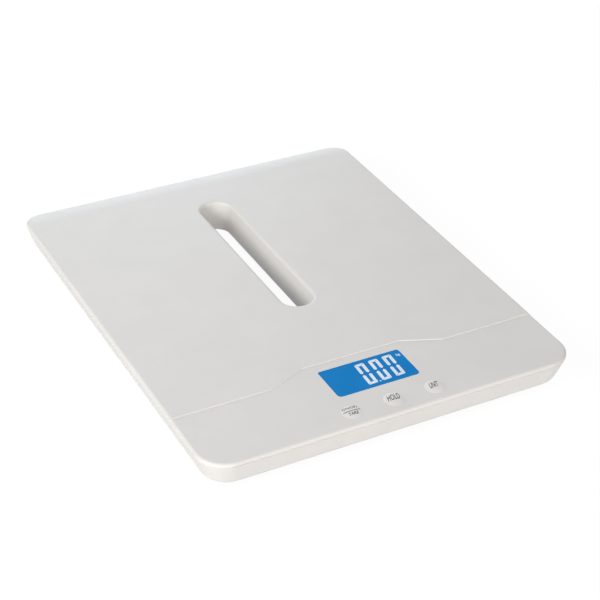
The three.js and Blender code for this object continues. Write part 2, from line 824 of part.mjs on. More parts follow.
// Load cells, cradles, feet and pads
function loadCell({ x, y, sy }) {
  const inner = tongueHalfWidth;
  const outer = tongueHalfWidth + cellSlotWidth;
  const slot = polygon([
    [-outer, -inner], [-outer, outer], [outer, outer], [outer, -inner],
    [inner, -inner], [inner, inner], [-inner, inner], [-inner, -inner],
  ].map(([px, py]) => [x + px, y + sy * py]));
  const plate = prism(roundedRect(cellSide, cellSide, cellCornerRadius, x, y), cellBottomZ, cellTopZ);
  const gauge = block(
    around(x, gaugeHalf), around(y - sy * tongueHalfWidth, gaugeHalf),
    [cellTopZ - gaugeHeight, cellTopZ + gaugeHeight],
  );
  return plate.subtract(prism(slot, cellBottomZ - overrun, cellTopZ + overrun))
    .add(gauge)
    .subtract(cylinder(footPegRadius + fitGap, cellBottomZ - overrun, cellTopZ + overrun, x, y));
}

function cradle({ x, y }) {
  return squareRing(cradleSide, cradleInner, cradleZ, cradleTopZ, x, y);
}

function foot({ x, y }) {
  const recessZ = footRimHeight + padRecess;
  const discTopZ = footRimHeight + footDiscHeight;
  const neckTopZ = cellBottomZ - footTravel - footTravelSpare;
  const headZ = cellTopZ + fitGap;
  return turned([
    [0, recessZ], [padRadius + fitGap, recessZ],
    [padRadius + fitGap, footRimHeight], [footRadius - footEdge, footRimHeight],
    [footRadius, footRimHeight + footEdge], [footRadius, discTopZ - footEdge],
    [footRadius - footEdge, discTopZ], [footNeckRadius, discTopZ], [footNeckRadius, neckTopZ],
    [footPegRadius, neckTopZ], [footPegRadius, headZ], [footHeadRadius, headZ],
    [footHeadRadius, headZ + footHeadHeight], [0, headZ + footHeadHeight],
  ], x, y, roundSides);
}

function footPad({ x, y }) {
  const topZ = footRimHeight + padRecess - fitGap;
  return turned([
    [0, 0], [padRadius - padEdge, 0], [padRadius, padEdge], [padRadius, topZ], [0, topZ],
  ], x, y, roundSides);
}

// Screws
function crossDrive(x, y, z, headRadius) {
  const reach = headRadius * driveReachShare;
  const depths = around(z, driveDepth);
  return block(around(x, reach), around(y, driveWidth / 2), depths)
    .add(block(around(x, driveWidth / 2), around(y, reach), depths));
}

function caseScrew({ x, y }) {
  const seat = pocketTopZ - fitGap;
  const under = seat - caseScrewHeadHeight;
  const tip = pocketTopZ - fitGap + caseScrewLength;
  return turned([
    [0, under], [caseScrewHead - fitGap, under], [caseScrewHead, under + fitGap],
    [caseScrewHead, seat], [caseScrewShaft, seat], [caseScrewShaft, tip - caseScrewShaft], [0, tip],
  ], x, y).subtract(crossDrive(x, y, under, caseScrewHead));
}

function boardScrew({ x, y }) {
  const top = onBoardZ + boardScrewHeadHeight;
  return turned([
    [0, boardScrewTipZ], [boardScrewShaft, boardScrewTipZ + boardScrewShaft],
    [boardScrewShaft, onBoardZ], [boardScrewHead, onBoardZ], [boardScrewHead, top - fitGap],
    [boardScrewHead - fitGap, top], [0, top],
  ], x, y).subtract(crossDrive(x, y, top, boardScrewHead));
}

// Leads: round cords along hand-placed routes, from their load cell or contact lug to the board
const leadFloorZ = floorZ + fitGap + leadRadius;
const leadCellZ = (cellBottomZ + cellTopZ) / 2;
const plugZ = (onBoardZ + ceilingZ - headerHeadroom) / 2;
const boardMidZ = (boardZ + boardTopZ) / 2;
const cellEdgeY = footY - cellSide / 2 - fitGap;
const lugTipX = bayOuterX + lugReach + fitGap;
const lastBattery = batteries[cellCount - 1];
const backLeadRoute = [
  [footX, cellEdgeY, leadCellZ], [footX, cellEdgeY - 6, leadCellZ - 0.5], [footX, cellEdgeY - 16, leadFloorZ],
  [footX, cellEdgeY - 22, leadFloorZ], [footX, 40, leadFloorZ], [footX - 2, -30, leadFloorZ],
  [84, -62, leadFloorZ], [70, -72, leadFloorZ + 1],
  [56, -80, 13], [44, -87, plugZ - 0.8], [33, -90.5, plugZ], [26.5, -92.3, plugZ],
  [24.6, -94.5, plugZ], [24.5, boardY1, plugZ],
];
const frontLeadRoute = [
  [footX, -cellEdgeY, leadCellZ], [footX, 5 - cellEdgeY, leadCellZ - 0.5],
  [93, 12 - cellEdgeY, leadFloorZ + 0.4], [82, -96, leadFloorZ], [68, -95, 9], [58, -94.5, 14.5],
  [48, -94.3, 18.8], [38, -94.3, plugZ], [32, -94.4, plugZ], [29.6, -95.2, plugZ], [29.5, boardY1, plugZ],
];
const positiveLeadRoute = [
  [lugTipX, batteries[0].y, lugZ], [lugTipX + 2, batteries[0].y - 0.6, lugZ + 0.2],
  [lugTipX + 4.4, batteries[0].y - 4, lugZ + 0.8], [36, -89, boardMidZ - 0.3], [36, -92, boardMidZ],
  [36, boardY1 + fitGap, boardMidZ],
];
const negativeLeadRoute = [
  [-lugTipX, lastBattery.y, lugZ], [-lugTipX - 2, lastBattery.y - 0.6, lugZ + 0.2],
  [-lugTipX - 4.4, lastBattery.y - 4, lugZ + 0.5], [-36, -80, boardMidZ - 0.8], [-36, -90, boardMidZ],
  [-36, boardY1 + fitGap, boardMidZ],
];

function mirroredRoute(route) {
  return route.map(([x, y, z]) => [-x, y, z]);
}

const cellLeadRoutes = [
  mirroredRoute(frontLeadRoute), frontLeadRoute, mirroredRoute(backLeadRoute), backLeadRoute,
];

function lead(route, radius) {
  const curve = new THREE.CatmullRomCurve3(route.map((p) => new THREE.Vector3(...p)), false, 'centripetal');
  const section = new THREE.Shape();
  for (let i = 0; i < leadSides; i += 1) {
    const angle = i / leadSides * 2 * Math.PI;
    const point = [radius * Math.cos(angle), radius * Math.sin(angle)];
    section[i ? 'lineTo' : 'moveTo'](...point);
  }
  return new THREE.ExtrudeGeometry(section, {
    extrudePath: curve, steps: Math.ceil(curve.getLength() / (2 * radius * leadStepDiameters)),
  });
}

// Materials
function finish(color, roughness, metalness = 0) {
  return new THREE.MeshStandardMaterial({ color, roughness, metalness });
}

const finishes = {
  case: finish('#dedcda', 0.5),
  window: finish('#1f7cc1', 0.15),
  button: finish('#dcdad8', 0.45),
  lcd: finish('#2a3a44', 0.1),
  backlight: finish('#eef3f6', 0.3),
  holder: finish('#e9e9e6', 0.6),
  board: finish('#1f6b43', 0.5),
  blob: finish('#17181a', 0.35),
  switch: finish('#1c1c1e', 0.4),
  plunger: finish('#4b4d50', 0.4),
  header: finish('#f1efe6', 0.5),
  steel: finish('#b9bcc0', 0.35, 1),
  contact: finish('#d3d2cc', 0.3, 1),
  cradle: finish('#2b2c2e', 0.55),
  foot: finish('#d8d6d4', 0.5),
  rubber: finish('#3a3b3d', 0.9),
  battery: finish('#3f4246', 0.35, 0.3),
  lead: finish('#c9cbce', 0.6),
  positive: finish('#b3261f', 0.5),
  negative: finish('#1b1b1c', 0.5),
};

// Assembly
const scale = new THREE.Group();

function place(name, shape, material) {
  const geometry = shape.isBufferGeometry ? shape : geometryOf(shape);
  const mesh = new THREE.Mesh(geometry, finishes[material]);
  mesh.name = name;
  scale.add(mesh);
}

place('top_cover', topCover(), 'case');
place('bottom_cover', bottomCover(), 'case');
place('battery_door', batteryDoor(), 'case');
place('display_window', displayWindow(), 'window');
place('lcd_panel', displayPlate(lcdZ, lcdTopZ), 'lcd');
place('backlight_panel', displayPlate(onBoardZ, lcdZ - fitGap), 'backlight');
place('lcd_holder', lcdHolder(), 'holder');
place('main_board', mainBoard(), 'board');
place('controller', controller(), 'blob');
place('sensor_header_left', header(-1), 'header');
place('sensor_header_right', header(1), 'header');
for (const spot of buttons) {
  place(`${spot.name}_button`, buttonCap(spot), 'button');
  place(`${spot.name}_plunger`, plunger(spot), 'plunger');
  place(`${spot.name}_switch`, switchHousing(spot), 'switch');
}
feet.forEach((spot, i) => {
  place(`load_cell_${spot.name}`, loadCell(spot), 'steel');
  place(`cell_cradle_${spot.name}`, cradle(spot), 'cradle');
  place(`foot_${spot.name}`, foot(spot), 'foot');
  place(`foot_pad_${spot.name}`, footPad(spot), 'rubber');
  place(`cell_lead_${spot.name}`, lead(cellLeadRoutes[i], leadRadius), 'lead');
});
batteries.forEach((spot, i) => place(`battery_${i + 1}`, battery(spot), 'battery'));
for (const spot of contacts) {
  place(spot.name, contact(spot), 'contact');
}
place('battery_lead_positive', lead(positiveLeadRoute, batteryLeadRadius), 'positive');
place('battery_lead_negative', lead(negativeLeadRoute, batteryLeadRadius), 'negative');
for (const spot of caseScrews) {
  place(`case_screw_${spot.name}`, caseScrew(spot), 'steel');
}
for (const spot of boardScrews) {
  place(`board_screw_${spot.name}`, boardScrew(spot), 'steel');
}

export default scale;
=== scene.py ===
"""Digital baby weighing scale: finished pieces, materials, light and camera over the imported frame.

Metres, +Z up, the display end toward -Y, the foot pads on the floor at z = 0.
"""
import json
import math

import bmesh
import bpy
from mathutils import Matrix, Vector


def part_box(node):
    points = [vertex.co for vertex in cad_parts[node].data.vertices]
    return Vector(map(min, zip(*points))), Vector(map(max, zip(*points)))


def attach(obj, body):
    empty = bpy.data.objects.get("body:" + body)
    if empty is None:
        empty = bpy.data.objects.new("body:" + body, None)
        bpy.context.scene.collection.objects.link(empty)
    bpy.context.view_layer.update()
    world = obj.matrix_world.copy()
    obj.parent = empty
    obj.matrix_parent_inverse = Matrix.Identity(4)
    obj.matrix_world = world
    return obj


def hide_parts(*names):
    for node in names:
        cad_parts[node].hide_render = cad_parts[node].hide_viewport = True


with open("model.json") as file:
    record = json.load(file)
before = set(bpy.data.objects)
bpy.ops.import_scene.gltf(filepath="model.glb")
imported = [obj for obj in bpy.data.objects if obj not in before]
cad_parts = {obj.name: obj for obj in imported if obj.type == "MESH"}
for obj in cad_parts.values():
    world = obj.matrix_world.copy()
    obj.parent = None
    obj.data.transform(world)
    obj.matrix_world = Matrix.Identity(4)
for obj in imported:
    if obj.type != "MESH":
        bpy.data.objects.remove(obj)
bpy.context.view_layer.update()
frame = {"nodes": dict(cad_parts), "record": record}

# Case
WALL = 0.0022
FRONT_CORNER_RADIUS = 0.0206
BACK_CORNER_RADIUS = 0.015
CORNER_TAPER_SHARE = 0.5
TOP_EDGE_RADIUS = 0.002
ROLL_LENGTH = 0.017
ROLL_DROP = 0.0021
FLANK_ROUND = 0.01
FLANK_DRAFT = math.radians(17.5)
SKIRT_LAND = 0.0002
PARTING_GAP = 0.0004
PARTING_GROOVE = 0.00044
PARTING_GROOVE_DEPTH = 0.0012
LIP_EDGE = 0.0004
HOLLOW_INSET = 0.0044
LIP_REST_GAP = 0.00005
INNER_INSET = 0.005
FIT_GAP = 0.0003
LEAST_CORNER = FIT_GAP / 4
FLOOR_LAP = 0.0002
OVERRUN = 0.002
WELD = 0.000001

# Step between the console and the platform
STEP_HEIGHT = 0.0005
STEP_RUN = 0.00045
STEP_OUTER_Y = -0.1122
STEP_INNER_Y = -0.1005
STEP_OUTER_X = 0.0669
STEP_INNER_X = 0.038
STEP_BEND_RADIUS = 0.0025

# Grip slot
SLOT_WIDTH = 0.0242
SLOT_FRONT_Y = -0.03177
SLOT_BACK_Y = 0.1262
SLOT_EDGE_RADIUS = 0.0027
SLOT_DRAFT = 0.0011
SLEEVE_WALL = 0.002
COLLAR_HEIGHT = 0.004

# Display window and what it shows
WINDOW_FLANGE = 0.002
WINDOW_FLANGE_THICKNESS = 0.0012
LENS_EDGE = 0.0001
WINDOW_GAP = 0.0001
WINDOW_FRONT_CORNER = 0.003
WINDOW_BACK_CORNER = 0.0018
WINDOW_EDGE = 0.0002
DIGIT_COUNT = 3
DIGIT_HEIGHT = 0.0235
DIGIT_WIDTH = 0.0072
DIGIT_PITCH = 0.0108
DIGIT_STROKE = 0.0024
DIGIT_CLIP = 0.0006
DIGIT_SLANT = 0.0018
DIGIT_MIDDLE_GAP = 0.0012
DIGIT_MITRE_GAP = 0.00016
DIGITS_LEFT = 0.025
DIGITS_FRONT = 0.0036
DIGITS_TURN = math.radians(1.6)
POINT_SIDE = 0.0011
KILOGRAM_WIDTH = 0.0027
KILOGRAM_HEIGHT = 0.0031
KILOGRAM_LEFT = 0.0336
KILOGRAM_FRONT = 0.0204
KILOGRAM_WEIGHT = 0.03
PRINT_THICKNESS = 0.00002

# Buttons
BUTTON_GAP = 0.00004
BUTTON_DOME = 0.0008
BUTTON_EDGE = 0.00006
BUTTON_HOLE_EDGE = 0.00006
BUTTON_FLANGE = 0.0011
STEM_RADIUS = 0.002
STEM_LENGTH = 0.0013
WORD_HEIGHT = 0.0062
SMALL_WORD_HEIGHT = 0.0028
WORD_LEAN = 0.27
WORD_WEIGHT = 0.01
HOLD_WIDTH = 0.0092
HOLD_SHIFT = Vector((0.0008, 0.0018, 0))
UNIT_WIDTH = 0.0066
UNIT_SHIFT = Vector((0.0001, 0.0017, 0))
POWER_WIDTH = 0.0116
POWER_SHIFT = Vector((0.0008, 0.0042, 0))
TARE_WIDTH = 0.0073
TARE_SHIFT = Vector((0.0003, -0.002, 0))
RULE_LENGTH = 0.0125
RULE_WIDTH = 0.0006
RULE_SHIFT = Vector((0.0004, 0.0008, 0))
TILE = 0.0006

# Feet, screws and battery door
FOOT_HOLE_GAP = 0.0006
FOOT_EDGE = 0.001
PAD_EDGE = 0.0005
PAD_RINGS = (0.0045, 0.0075, 0.0105)
PAD_RING_WIDTH = 0.0005
PAD_RING_DEPTH = 0.0003
HOLE_EDGE = 0.0003
POCKET_RADIUS = 0.0031
POCKET_DEPTH = 0.004
SCREW_HEAD_HEIGHT = 0.0017
SCREW_SHAFT = 0.0014
SCREW_PITCH = 0.0009
SCREW_THREAD = 0.0002
DRIVE_WIDTH = 0.0008
DRIVE_DEPTH = 0.0008
DRIVE_REACH_SHARE = 0.6
HEAD_POWER = 0.8
HEAD_CROWN = 0.0009
FOOT_RECESS = 0.0008
FOOT_RIM_WALL = 0.0017
FOOT_DISC_HEIGHT = 0.0052
FOOT_NECK_RADIUS = 0.006
FOOT_NECK_GAP = 0.00035
FOOT_PEG_RADIUS = 0.0017
FOOT_HEAD_RADIUS = 0.0028
FOOT_HEAD_HEIGHT = 0.001
DOOR_GAP = 0.0004
DOOR_RIB_PITCH = 0.0016
DOOR_RIB_WIDTH = 0.0007
DOOR_RIB_DEPTH = 0.00035
DOOR_RIB_COUNT = 5
DOOR_THICKNESS = 0.002
DOOR_CORNER_RADIUS = 0.001
HINGE_RADIUS = 0.0012
PIN_RADIUS = 0.0007
PIN_LENGTH = 0.0024
TAB_WIDTH = 0.016
TAB_REACH = 0.003
TAB_THICKNESS = 0.0011
ARROW_SIZE = 0.0022

# Grain, relief and sheen of the materials: sizes and depths in metres, sheens as ranges of roughness
NOISE_DETAIL = 2
FINE_DETAIL = 3
NOISE_LOW = 0.3
NOISE_HIGH = 0.7
PLAIN_SPECULAR = 0.5
MOTTLE_SIZE = 0.03
MOTTLE_SHARE = 0.015
ROUGHNESS_SPREAD = 0.04
GRAIN_SIZE = 0.0004
GRAIN_DEPTH = 0.000006
SHEEN_PER_GRAIN = 3
METAL_STAIN_SIZE = 0.002
METAL_STAIN_SHARE = 0.9
METAL_LINE_SIZE = 0.0001
METAL_LINE_STRETCH = (30, 1, 1)
METAL_LINE_DEPTH = 0.000003
METAL_SHEEN_SHARES = (0.7, 1.3)
MASK_ROUGHNESS = 0.4
MASK_GRAIN_SIZE = 0.004
MASK_SHEEN = (0.3, 0.45)
TRACKS_PER_METRE = 120
TRACK_WIDTH_SHARE = 0.03
TRACK_DEPTH = 0.00003
PANEL_DRIFT_SIZE = 0.02
PANEL_GRAIN_SIZE = 0.003
PANEL_RIPPLE_SIZE = 0.006
PANEL_RIPPLE_DEPTH = 0.000002
PANEL_SHEEN_SHARES = (0.8, 1.2)
SLEEVE_ROUGHNESS = 0.3
SLEEVE_METALLIC = 0.6
SLEEVE_SHEEN_SIZE = 0.001
SLEEVE_SHEEN = (0.24, 0.38)
SLEEVE_GRAIN_SIZE = 0.0005
SLEEVE_GRAIN_DEPTH = 0.000004
SLEEVE_START = 0.008
BAND_START = 0.7
BAND_END = 0.972

# Battery cells, each numbered, and 1 where its positive end points right or -1 where it points left
BATTERY_WAYS = ((1, 1), (2, -1), (3, 1))
BATTERY_NUB = 0.0008
BATTERY_NUB_RADIUS = 0.0019
SLEEVE_LIP = 0.0004

# Floor, light and camera
FLOOR_SIZE = 12
FLOOR_DROP = 0.0001
FLOOR_TONE = 0.85
FLOOR_GLOW = 1.04
FLOOR_GLOW_SHARE = 0.9
SKY_STRENGTH = 0.465
SKY_TINT = (1, 0.985, 0.97, 1)
LAMP_SIZE = 1
LAMPS = (
    {"name": "left_lamp", "place": (-1.86, -0.48, 0.98), "power": 26, "tint": (1, 1, 0.965)},
    {"name": "front_lamp", "place": (-0.2, -2, 0.35), "power": 16.5, "tint": (1, 0.97, 0.945)},
    {"name": "back_lamp", "place": (0.6, 1.84, 0.58), "power": 11.5, "tint": (0.78, 0.88, 1)},
)
FRAME_PIXELS = 600
FOCAL_PIXELS = 1624.3
SENSOR_WIDTH = 36
CAMERA_AZIMUTH = math.radians(-28.595)
CAMERA_ELEVATION = math.radians(33.725)
CAMERA_ROLL = math.radians(1.595)
CAMERA_TARGET_X = -0.000168
CAMERA_TARGET_Y = -0.025984
CAMERA_DISTANCE = 1.164268

# Segments
CORNER_STEPS = 24
EDGE_STEPS = 8
ROUND_SIDES = 96
SMALL_SIDES = 40
SMALL_CORNER_STEPS = 8
DRIVE_CORNER_STEPS = 2
BEND_STEPS = 8
DOME_STEPS = 12
LETTER_STEPS = 4
SHARP_ANGLE = math.radians(30)

# Levels and edges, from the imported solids
top_low, top_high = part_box("top_cover")
bottom_low, bottom_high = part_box("bottom_cover")
SIDE_X = top_high.x
FRONT_Y = top_low.y
BACK_Y = top_high.y
PLATFORM_Z = top_high.z
CONSOLE_Z = PLATFORM_Z - STEP_HEIGHT
CEILING_Z = CONSOLE_Z - WALL
BOTTOM_Z = bottom_low.z
FLOOR_Z = BOTTOM_Z + WALL
PARTING_Z = bottom_high.z + PARTING_GAP / 2
SKIRT_Z = PARTING_Z + PARTING_GROOVE / 2
LIP_Z = PARTING_Z - PARTING_GROOVE / 2
FLANK_CENTRE_Z = BOTTOM_Z + FLANK_ROUND
FLANK_CENTRE_INSET = (
    FLANK_ROUND + (PARTING_Z - FLANK_CENTRE_Z) * math.sin(FLANK_DRAFT)
) / math.cos(FLANK_DRAFT)
CORNERS = ("front_left", "front_right", "back_left", "back_right")
CASE_SCREWS = CORNERS + ("middle_left", "middle_right")
BUTTONS = ("tare", "hold", "unit")


def centre_of(node):
    low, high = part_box(node)
    return (low + high) / 2


# Meshes: closed skins from rings of points, turned profiles, and cuts and joins of them
def add_object(name, vertices, faces):
    mesh = bpy.data.meshes.new(name)
    mesh.from_pydata(vertices, [], faces)
    piece = bpy.data.objects.new(name, mesh)
    bpy.context.scene.collection.objects.link(piece)
    return piece


def loft(name, rings, strips=False):
    """A closed skin over rings of equal point counts, from the bottom up, with flat or stripped ends."""
    count = len(rings[0])
    faces = []
    for start in range(0, (len(rings) - 1) * count, count):
        for i in range(count):
            a = start + i
            b = start + (i + 1) % count
            faces.append((a, b, b + count, a + count))
    top = (len(rings) - 1) * count
    last = count - 1
    if strips:
        for i in range((last - 1) // 2 + 1):
            lower = (i, i + 1, last - i - 1, last - i)
            if lower[1] == lower[2]:
                break
            faces.append(tuple(reversed(lower)))
            faces.append(tuple(top + j for j in lower))
    else:
        faces.append(tuple(reversed(range(count))))
        faces.append(tuple(range(top, top + count)))
    return add_object(name, [point for ring in rings for point in ring], faces)


def flared(name, outline, levels):
    """A solid whose outline grows by the first number of each level at the height of its second."""
    return loft(name, [[(x, y, z) for x, y in outline(grow)] for grow, z in levels])


def turned(name, profile, centre, sides=ROUND_SIDES):
    """A solid of revolution about a vertical axis, its (radius, z) profile starting and ending on it."""
    vertices = []
    rows = []
    for radius, z in profile:
        if radius == 0:
            rows.append([len(vertices)] * sides)
            vertices.append((centre.x, centre.y, z))
            continue
        rows.append(list(range(len(vertices), len(vertices) + sides)))
        for i in range(sides):
            angle = 2 * math.pi * i / sides
            vertices.append((centre.x + radius * math.cos(angle), centre.y + radius * math.sin(angle), z))
    faces = []
    for low, high in zip(rows, rows[1:]):
        for i in range(sides):
            j = (i + 1) % sides
            corners = (low[i], low[j], high[j], high[i])
            faces.append(tuple(dict.fromkeys(corners)))
    return add_object(name, vertices, faces)


def combine(base, operation, *tools):
    """The base mesh after each tool is added to it, cut from it or kept with it; the tools are used up."""
    for tool in tools:
        step = base.modifiers.new(operation, "BOOLEAN")
        step.operation = operation
        step.solver = "MANIFOLD"
        step.object = tool
    graph = bpy.context.evaluated_depsgraph_get()
    mesh = bpy.data.meshes.new_from_object(base.evaluated_get(graph))
    base.modifiers.clear()
    base.data = mesh
    for tool in tools:
        bpy.data.objects.remove(tool)
    return base


def join(base, *tools):
    return combine(base, "UNION", *tools)


def cut(base, *tools):
    return combine(base, "DIFFERENCE", *tools)


def common(base, tool):
    return combine(base, "INTERSECT", tool)


# Outlines, as functions of how far they grow outward
def circle(centre, radius, sides=ROUND_SIDES):
    def outline(grow):
        angles = [2 * math.pi * i / sides for i in range(sides)]
        reach = radius + grow
        return [(centre.x + reach * math.cos(a), centre.y + reach * math.sin(a)) for a in angles]
    return outline


def rounded_rect(centre, width, depth, radius, steps=SMALL_CORNER_STEPS):
    """A rectangle with one corner radius, or four of them from the front right corner leftwards round."""
    radii = radius if isinstance(radius, list) else [radius] * 4

    def outline(grow):
        points = []
        for quarter, (way_x, way_y) in enumerate(((1, -1), (1, 1), (-1, 1), (-1, -1))):
            round_radius = max(radii[quarter] + grow, LEAST_CORNER)
            reach_x = width / 2 + grow - round_radius
            reach_y = depth / 2 + grow - round_radius
            for i in range(steps + 1):
                angle = (quarter - 1 + i / steps) * math.pi / 2
                points.append((
                    centre.x + way_x * reach_x + round_radius * math.cos(angle),
                    centre.y + way_y * reach_y + round_radius * math.sin(angle),
                ))
        return points
    return outline


def slot_outline(grow):
    radius = SLOT_WIDTH / 2 + grow
    middle = (SLOT_FRONT_Y + SLOT_BACK_Y) / 2
    reach = SLOT_BACK_Y - middle - SLOT_WIDTH / 2
    points = []
    for way in (1, -1):
        for i in range(2 * CORNER_STEPS + 1):
            angle = i / (2 * CORNER_STEPS) * math.pi
            x = radius * math.cos(angle)
            y = reach + radius * math.sin(angle)
            points.append((way * x, middle + way * y))
    return points


# Levels: how far an outline has grown, and its height
def quarter_turns():
    return [i / EDGE_STEPS * math.pi / 2 for i in range(EDGE_STEPS + 1)]


def mouth_up(edge, z):
    """A hole's rounded mouth that opens upward at z."""
    arc = [(edge * (1 - math.cos(t)), z - edge * (1 - math.sin(t))) for t in quarter_turns()]
    return arc + [(edge, z + OVERRUN)]


def mouth_down(edge, z):
    arc = [(edge * (1 - math.cos(t)), z + edge * (1 - math.sin(t))) for t in reversed(quarter_turns())]
    return [(edge, z - OVERRUN)] + arc


def edge_up(edge, z):
    """A solid's rounded upper edge at z."""
    return [(-edge * (1 - math.cos(t)), z - edge * (1 - math.sin(t))) for t in quarter_turns()]


def edge_down(edge, z):
    return [(-edge * (1 - math.cos(t)), z + edge * (1 - math.sin(t))) for t in reversed(quarter_turns())]


def straight(z0, z1):
    return [(0, z0), (0, z1)]


# Case outline: its right half from the front edge to the back edge, then the mirrored left half
def case_ring(inset, height_at):
    taper = inset * CORNER_TAPER_SHARE
    front = FRONT_CORNER_RADIUS - taper
    back = BACK_CORNER_RADIUS - taper
    x = SIDE_X - inset
    front_y = FRONT_Y + inset + front
    back_y = BACK_Y - inset - back
    half = []
    for i in range(CORNER_STEPS + 1):
        angle = (i / CORNER_STEPS - 1) * math.pi / 2
        half.append((x - front + front * math.cos(angle), front_y + front * math.sin(angle)))
    half.append((x, min(BACK_Y - ROLL_LENGTH, back_y - FIT_GAP)))
    for i in range(CORNER_STEPS + 1):
        angle = i / CORNER_STEPS * math.pi / 2
        half.append((x - back + back * math.cos(angle), back_y + back * math.sin(angle)))
    mirrored = [(-px, py) for px, py in reversed(half)]
    return [(px, py, height_at(py)) for px, py in half + mirrored]


def case_loft(name, profile):
    return loft(name, [case_ring(inset, height_at) for inset, height_at in profile], strips=True)


def level(z):
    return lambda y: z


def flank_inset(z, depth=0.0):
    """How far in from the case's edge the flank lies at z, or the surface at a depth behind it."""
    radius = FLANK_ROUND - depth
    if z > FLANK_CENTRE_Z - radius * math.sin(FLANK_DRAFT):
        return (PARTING_Z - z) * math.tan(FLANK_DRAFT) + depth / math.cos(FLANK_DRAFT)
    return FLANK_CENTRE_INSET - math.sqrt(max(radius ** 2 - (FLANK_CENTRE_Z - z) ** 2, 0))


def flank_profile(depth, top_z):
    """The flank from the underside up to top_z, or the surface at a depth behind it."""
    radius = FLANK_ROUND - depth
    steps = 2 * EDGE_STEPS
    profile = []
    for i in range(steps + 1):
        angle = math.pi / 2 + (FLANK_DRAFT - math.pi / 2) * i / steps
        height = FLANK_CENTRE_Z - radius * math.sin(angle)
        profile.append((FLANK_CENTRE_INSET - radius * math.cos(angle), level(height)))
    profile.append((flank_inset(top_z, depth), level(top_z)))
    return profile


# Top cover
def roll_at(y):
    """How far the top surface has dropped toward the back edge."""
    return ROLL_DROP * (max(y - (BACK_Y - ROLL_LENGTH), 0) / ROLL_LENGTH) ** 2


def cover_body(name, top_z):
    profile = [(0, level(SKIRT_Z))]
    for t in quarter_turns():
        def height_at(y, turn=t):
            surface_z = top_z - roll_at(y)
            rise = min(TOP_EDGE_RADIUS, surface_z - SKIRT_Z - SKIRT_LAND)
            return surface_z - rise * (1 - math.sin(turn))
        profile.append((TOP_EDGE_RADIUS * (1 - math.cos(t)), height_at))
    return case_loft(name, profile)


def step_path():
    """The foot of the console step from left to right, with its bends rounded."""
    knots = [
        (-SIDE_X - OVERRUN, STEP_OUTER_Y), (-STEP_OUTER_X, STEP_OUTER_Y), (-STEP_INNER_X, STEP_INNER_Y),
        (STEP_INNER_X, STEP_INNER_Y), (STEP_OUTER_X, STEP_OUTER_Y), (SIDE_X + OVERRUN, STEP_OUTER_Y),
    ]
    slant = math.atan2(STEP_INNER_Y - STEP_OUTER_Y, STEP_OUTER_X - STEP_INNER_X)
    reach = STEP_BEND_RADIUS * math.tan(slant / 2)
    path = [knots[0]]
    for before, knot, after in zip(knots, knots[1:], knots[2:]):
        start = Vector(knot) + (Vector(before) - Vector(knot)).normalized() * reach
        end = Vector(knot) + (Vector(after) - Vector(knot)).normalized() * reach
        for i in range(BEND_STEPS + 1):
            share = i / BEND_STEPS
            early = start.lerp(Vector(knot), share)
            late = Vector(knot).lerp(end, share)
            path.append(tuple(early.lerp(late, share)))
    return path + [knots[-1]]


def step_prism():
    """All that lies behind the console step, its face leaning back from the console to the platform."""
    path = step_path()
    end_y = BACK_Y + OVERRUN
    levels = [(0, BOTTOM_Z), (0, CONSOLE_Z), (STEP_RUN, PLATFORM_Z), (STEP_RUN, PLATFORM_Z + OVERRUN)]
    rings = []
    for shift, z in levels:
        ring = [(x, y + shift, z) for x, y in path]
        rings.append(ring + [(path[-1][0], end_y, z), (path[0][0], end_y, z)])
    return loft("step_prism", rings)


def drop_custom_normals(mesh):
    """Lets the sharp edges of a mesh be marked by their angle."""
    if "custom_normal" in mesh.attributes:
        mesh.attributes.remove(mesh.attributes["custom_normal"])


def inside(node, *regions):
    """What a CAD node has within the first region and any regions added to it, as a welded solid."""
    mesh = frame["nodes"][node].data.copy()
    drop_custom_normals(mesh)
    weld = bmesh.new()
    weld.from_mesh(mesh)
    bmesh.ops.remove_doubles(weld, verts=weld.verts, dist=WELD)
    weld.to_mesh(mesh)
    weld.free()
    piece = bpy.data.objects.new("inside", mesh)
    bpy.context.scene.collection.objects.link(piece)
    return common(piece, join(regions[0], *regions[1:]))


def top_shell():
    shell = cover_body("top_shell", CONSOLE_Z)
    platform = common(cover_body("platform", PLATFORM_Z), step_prism())
    hollow = case_loft("hollow", [
        (HOLLOW_INSET, level(SKIRT_Z - OVERRUN)), (HOLLOW_INSET, level(CEILING_Z)),
    ])
    below_skirt = case_loft("below_skirt", [
        (-OVERRUN, level(BOTTOM_Z - OVERRUN)), (-OVERRUN, level(SKIRT_Z + LIP_REST_GAP)),
    ])
    under_ceiling = case_loft("under_ceiling", [
        (INNER_INSET, level(BOTTOM_Z)), (INNER_INSET, level(CEILING_Z + WALL / 2)),
    ])
    cut(join(shell, platform), hollow)
    join(shell, inside("top_cover", below_skirt, under_ceiling))
    slot_foot = [(-SLOT_DRAFT, BOTTOM_Z - OVERRUN), (-SLOT_DRAFT, BOTTOM_Z)]
    window_levels = [(0, CEILING_Z - OVERRUN)] + mouth_up(WINDOW_EDGE, CONSOLE_Z)
    button_levels = [(0, CEILING_Z - OVERRUN)] + mouth_up(BUTTON_HOLE_EDGE, CONSOLE_Z)
    holes = [circle(centre_of(f"{name}_button"), button_radius() + BUTTON_GAP) for name in BUTTONS]
    return cut(
        shell,
        flared("slot", slot_outline, slot_foot + mouth_up(SLOT_EDGE_RADIUS, PLATFORM_Z)),
        flared("window_hole", window_outline(0), window_levels),
        *[flared("button_hole", hole, button_levels) for hole in holes],
    )


# Bottom cover: the tray with its reveal under the parting line and its openings underneath
def floor_opening(name, outline, top_z):
    """A cutter that opens the tray's underside up to top_z, its lower edge rounded."""
    return flared(name, outline, mouth_down(HOLE_EDGE, BOTTOM_Z) + [(0, top_z)])


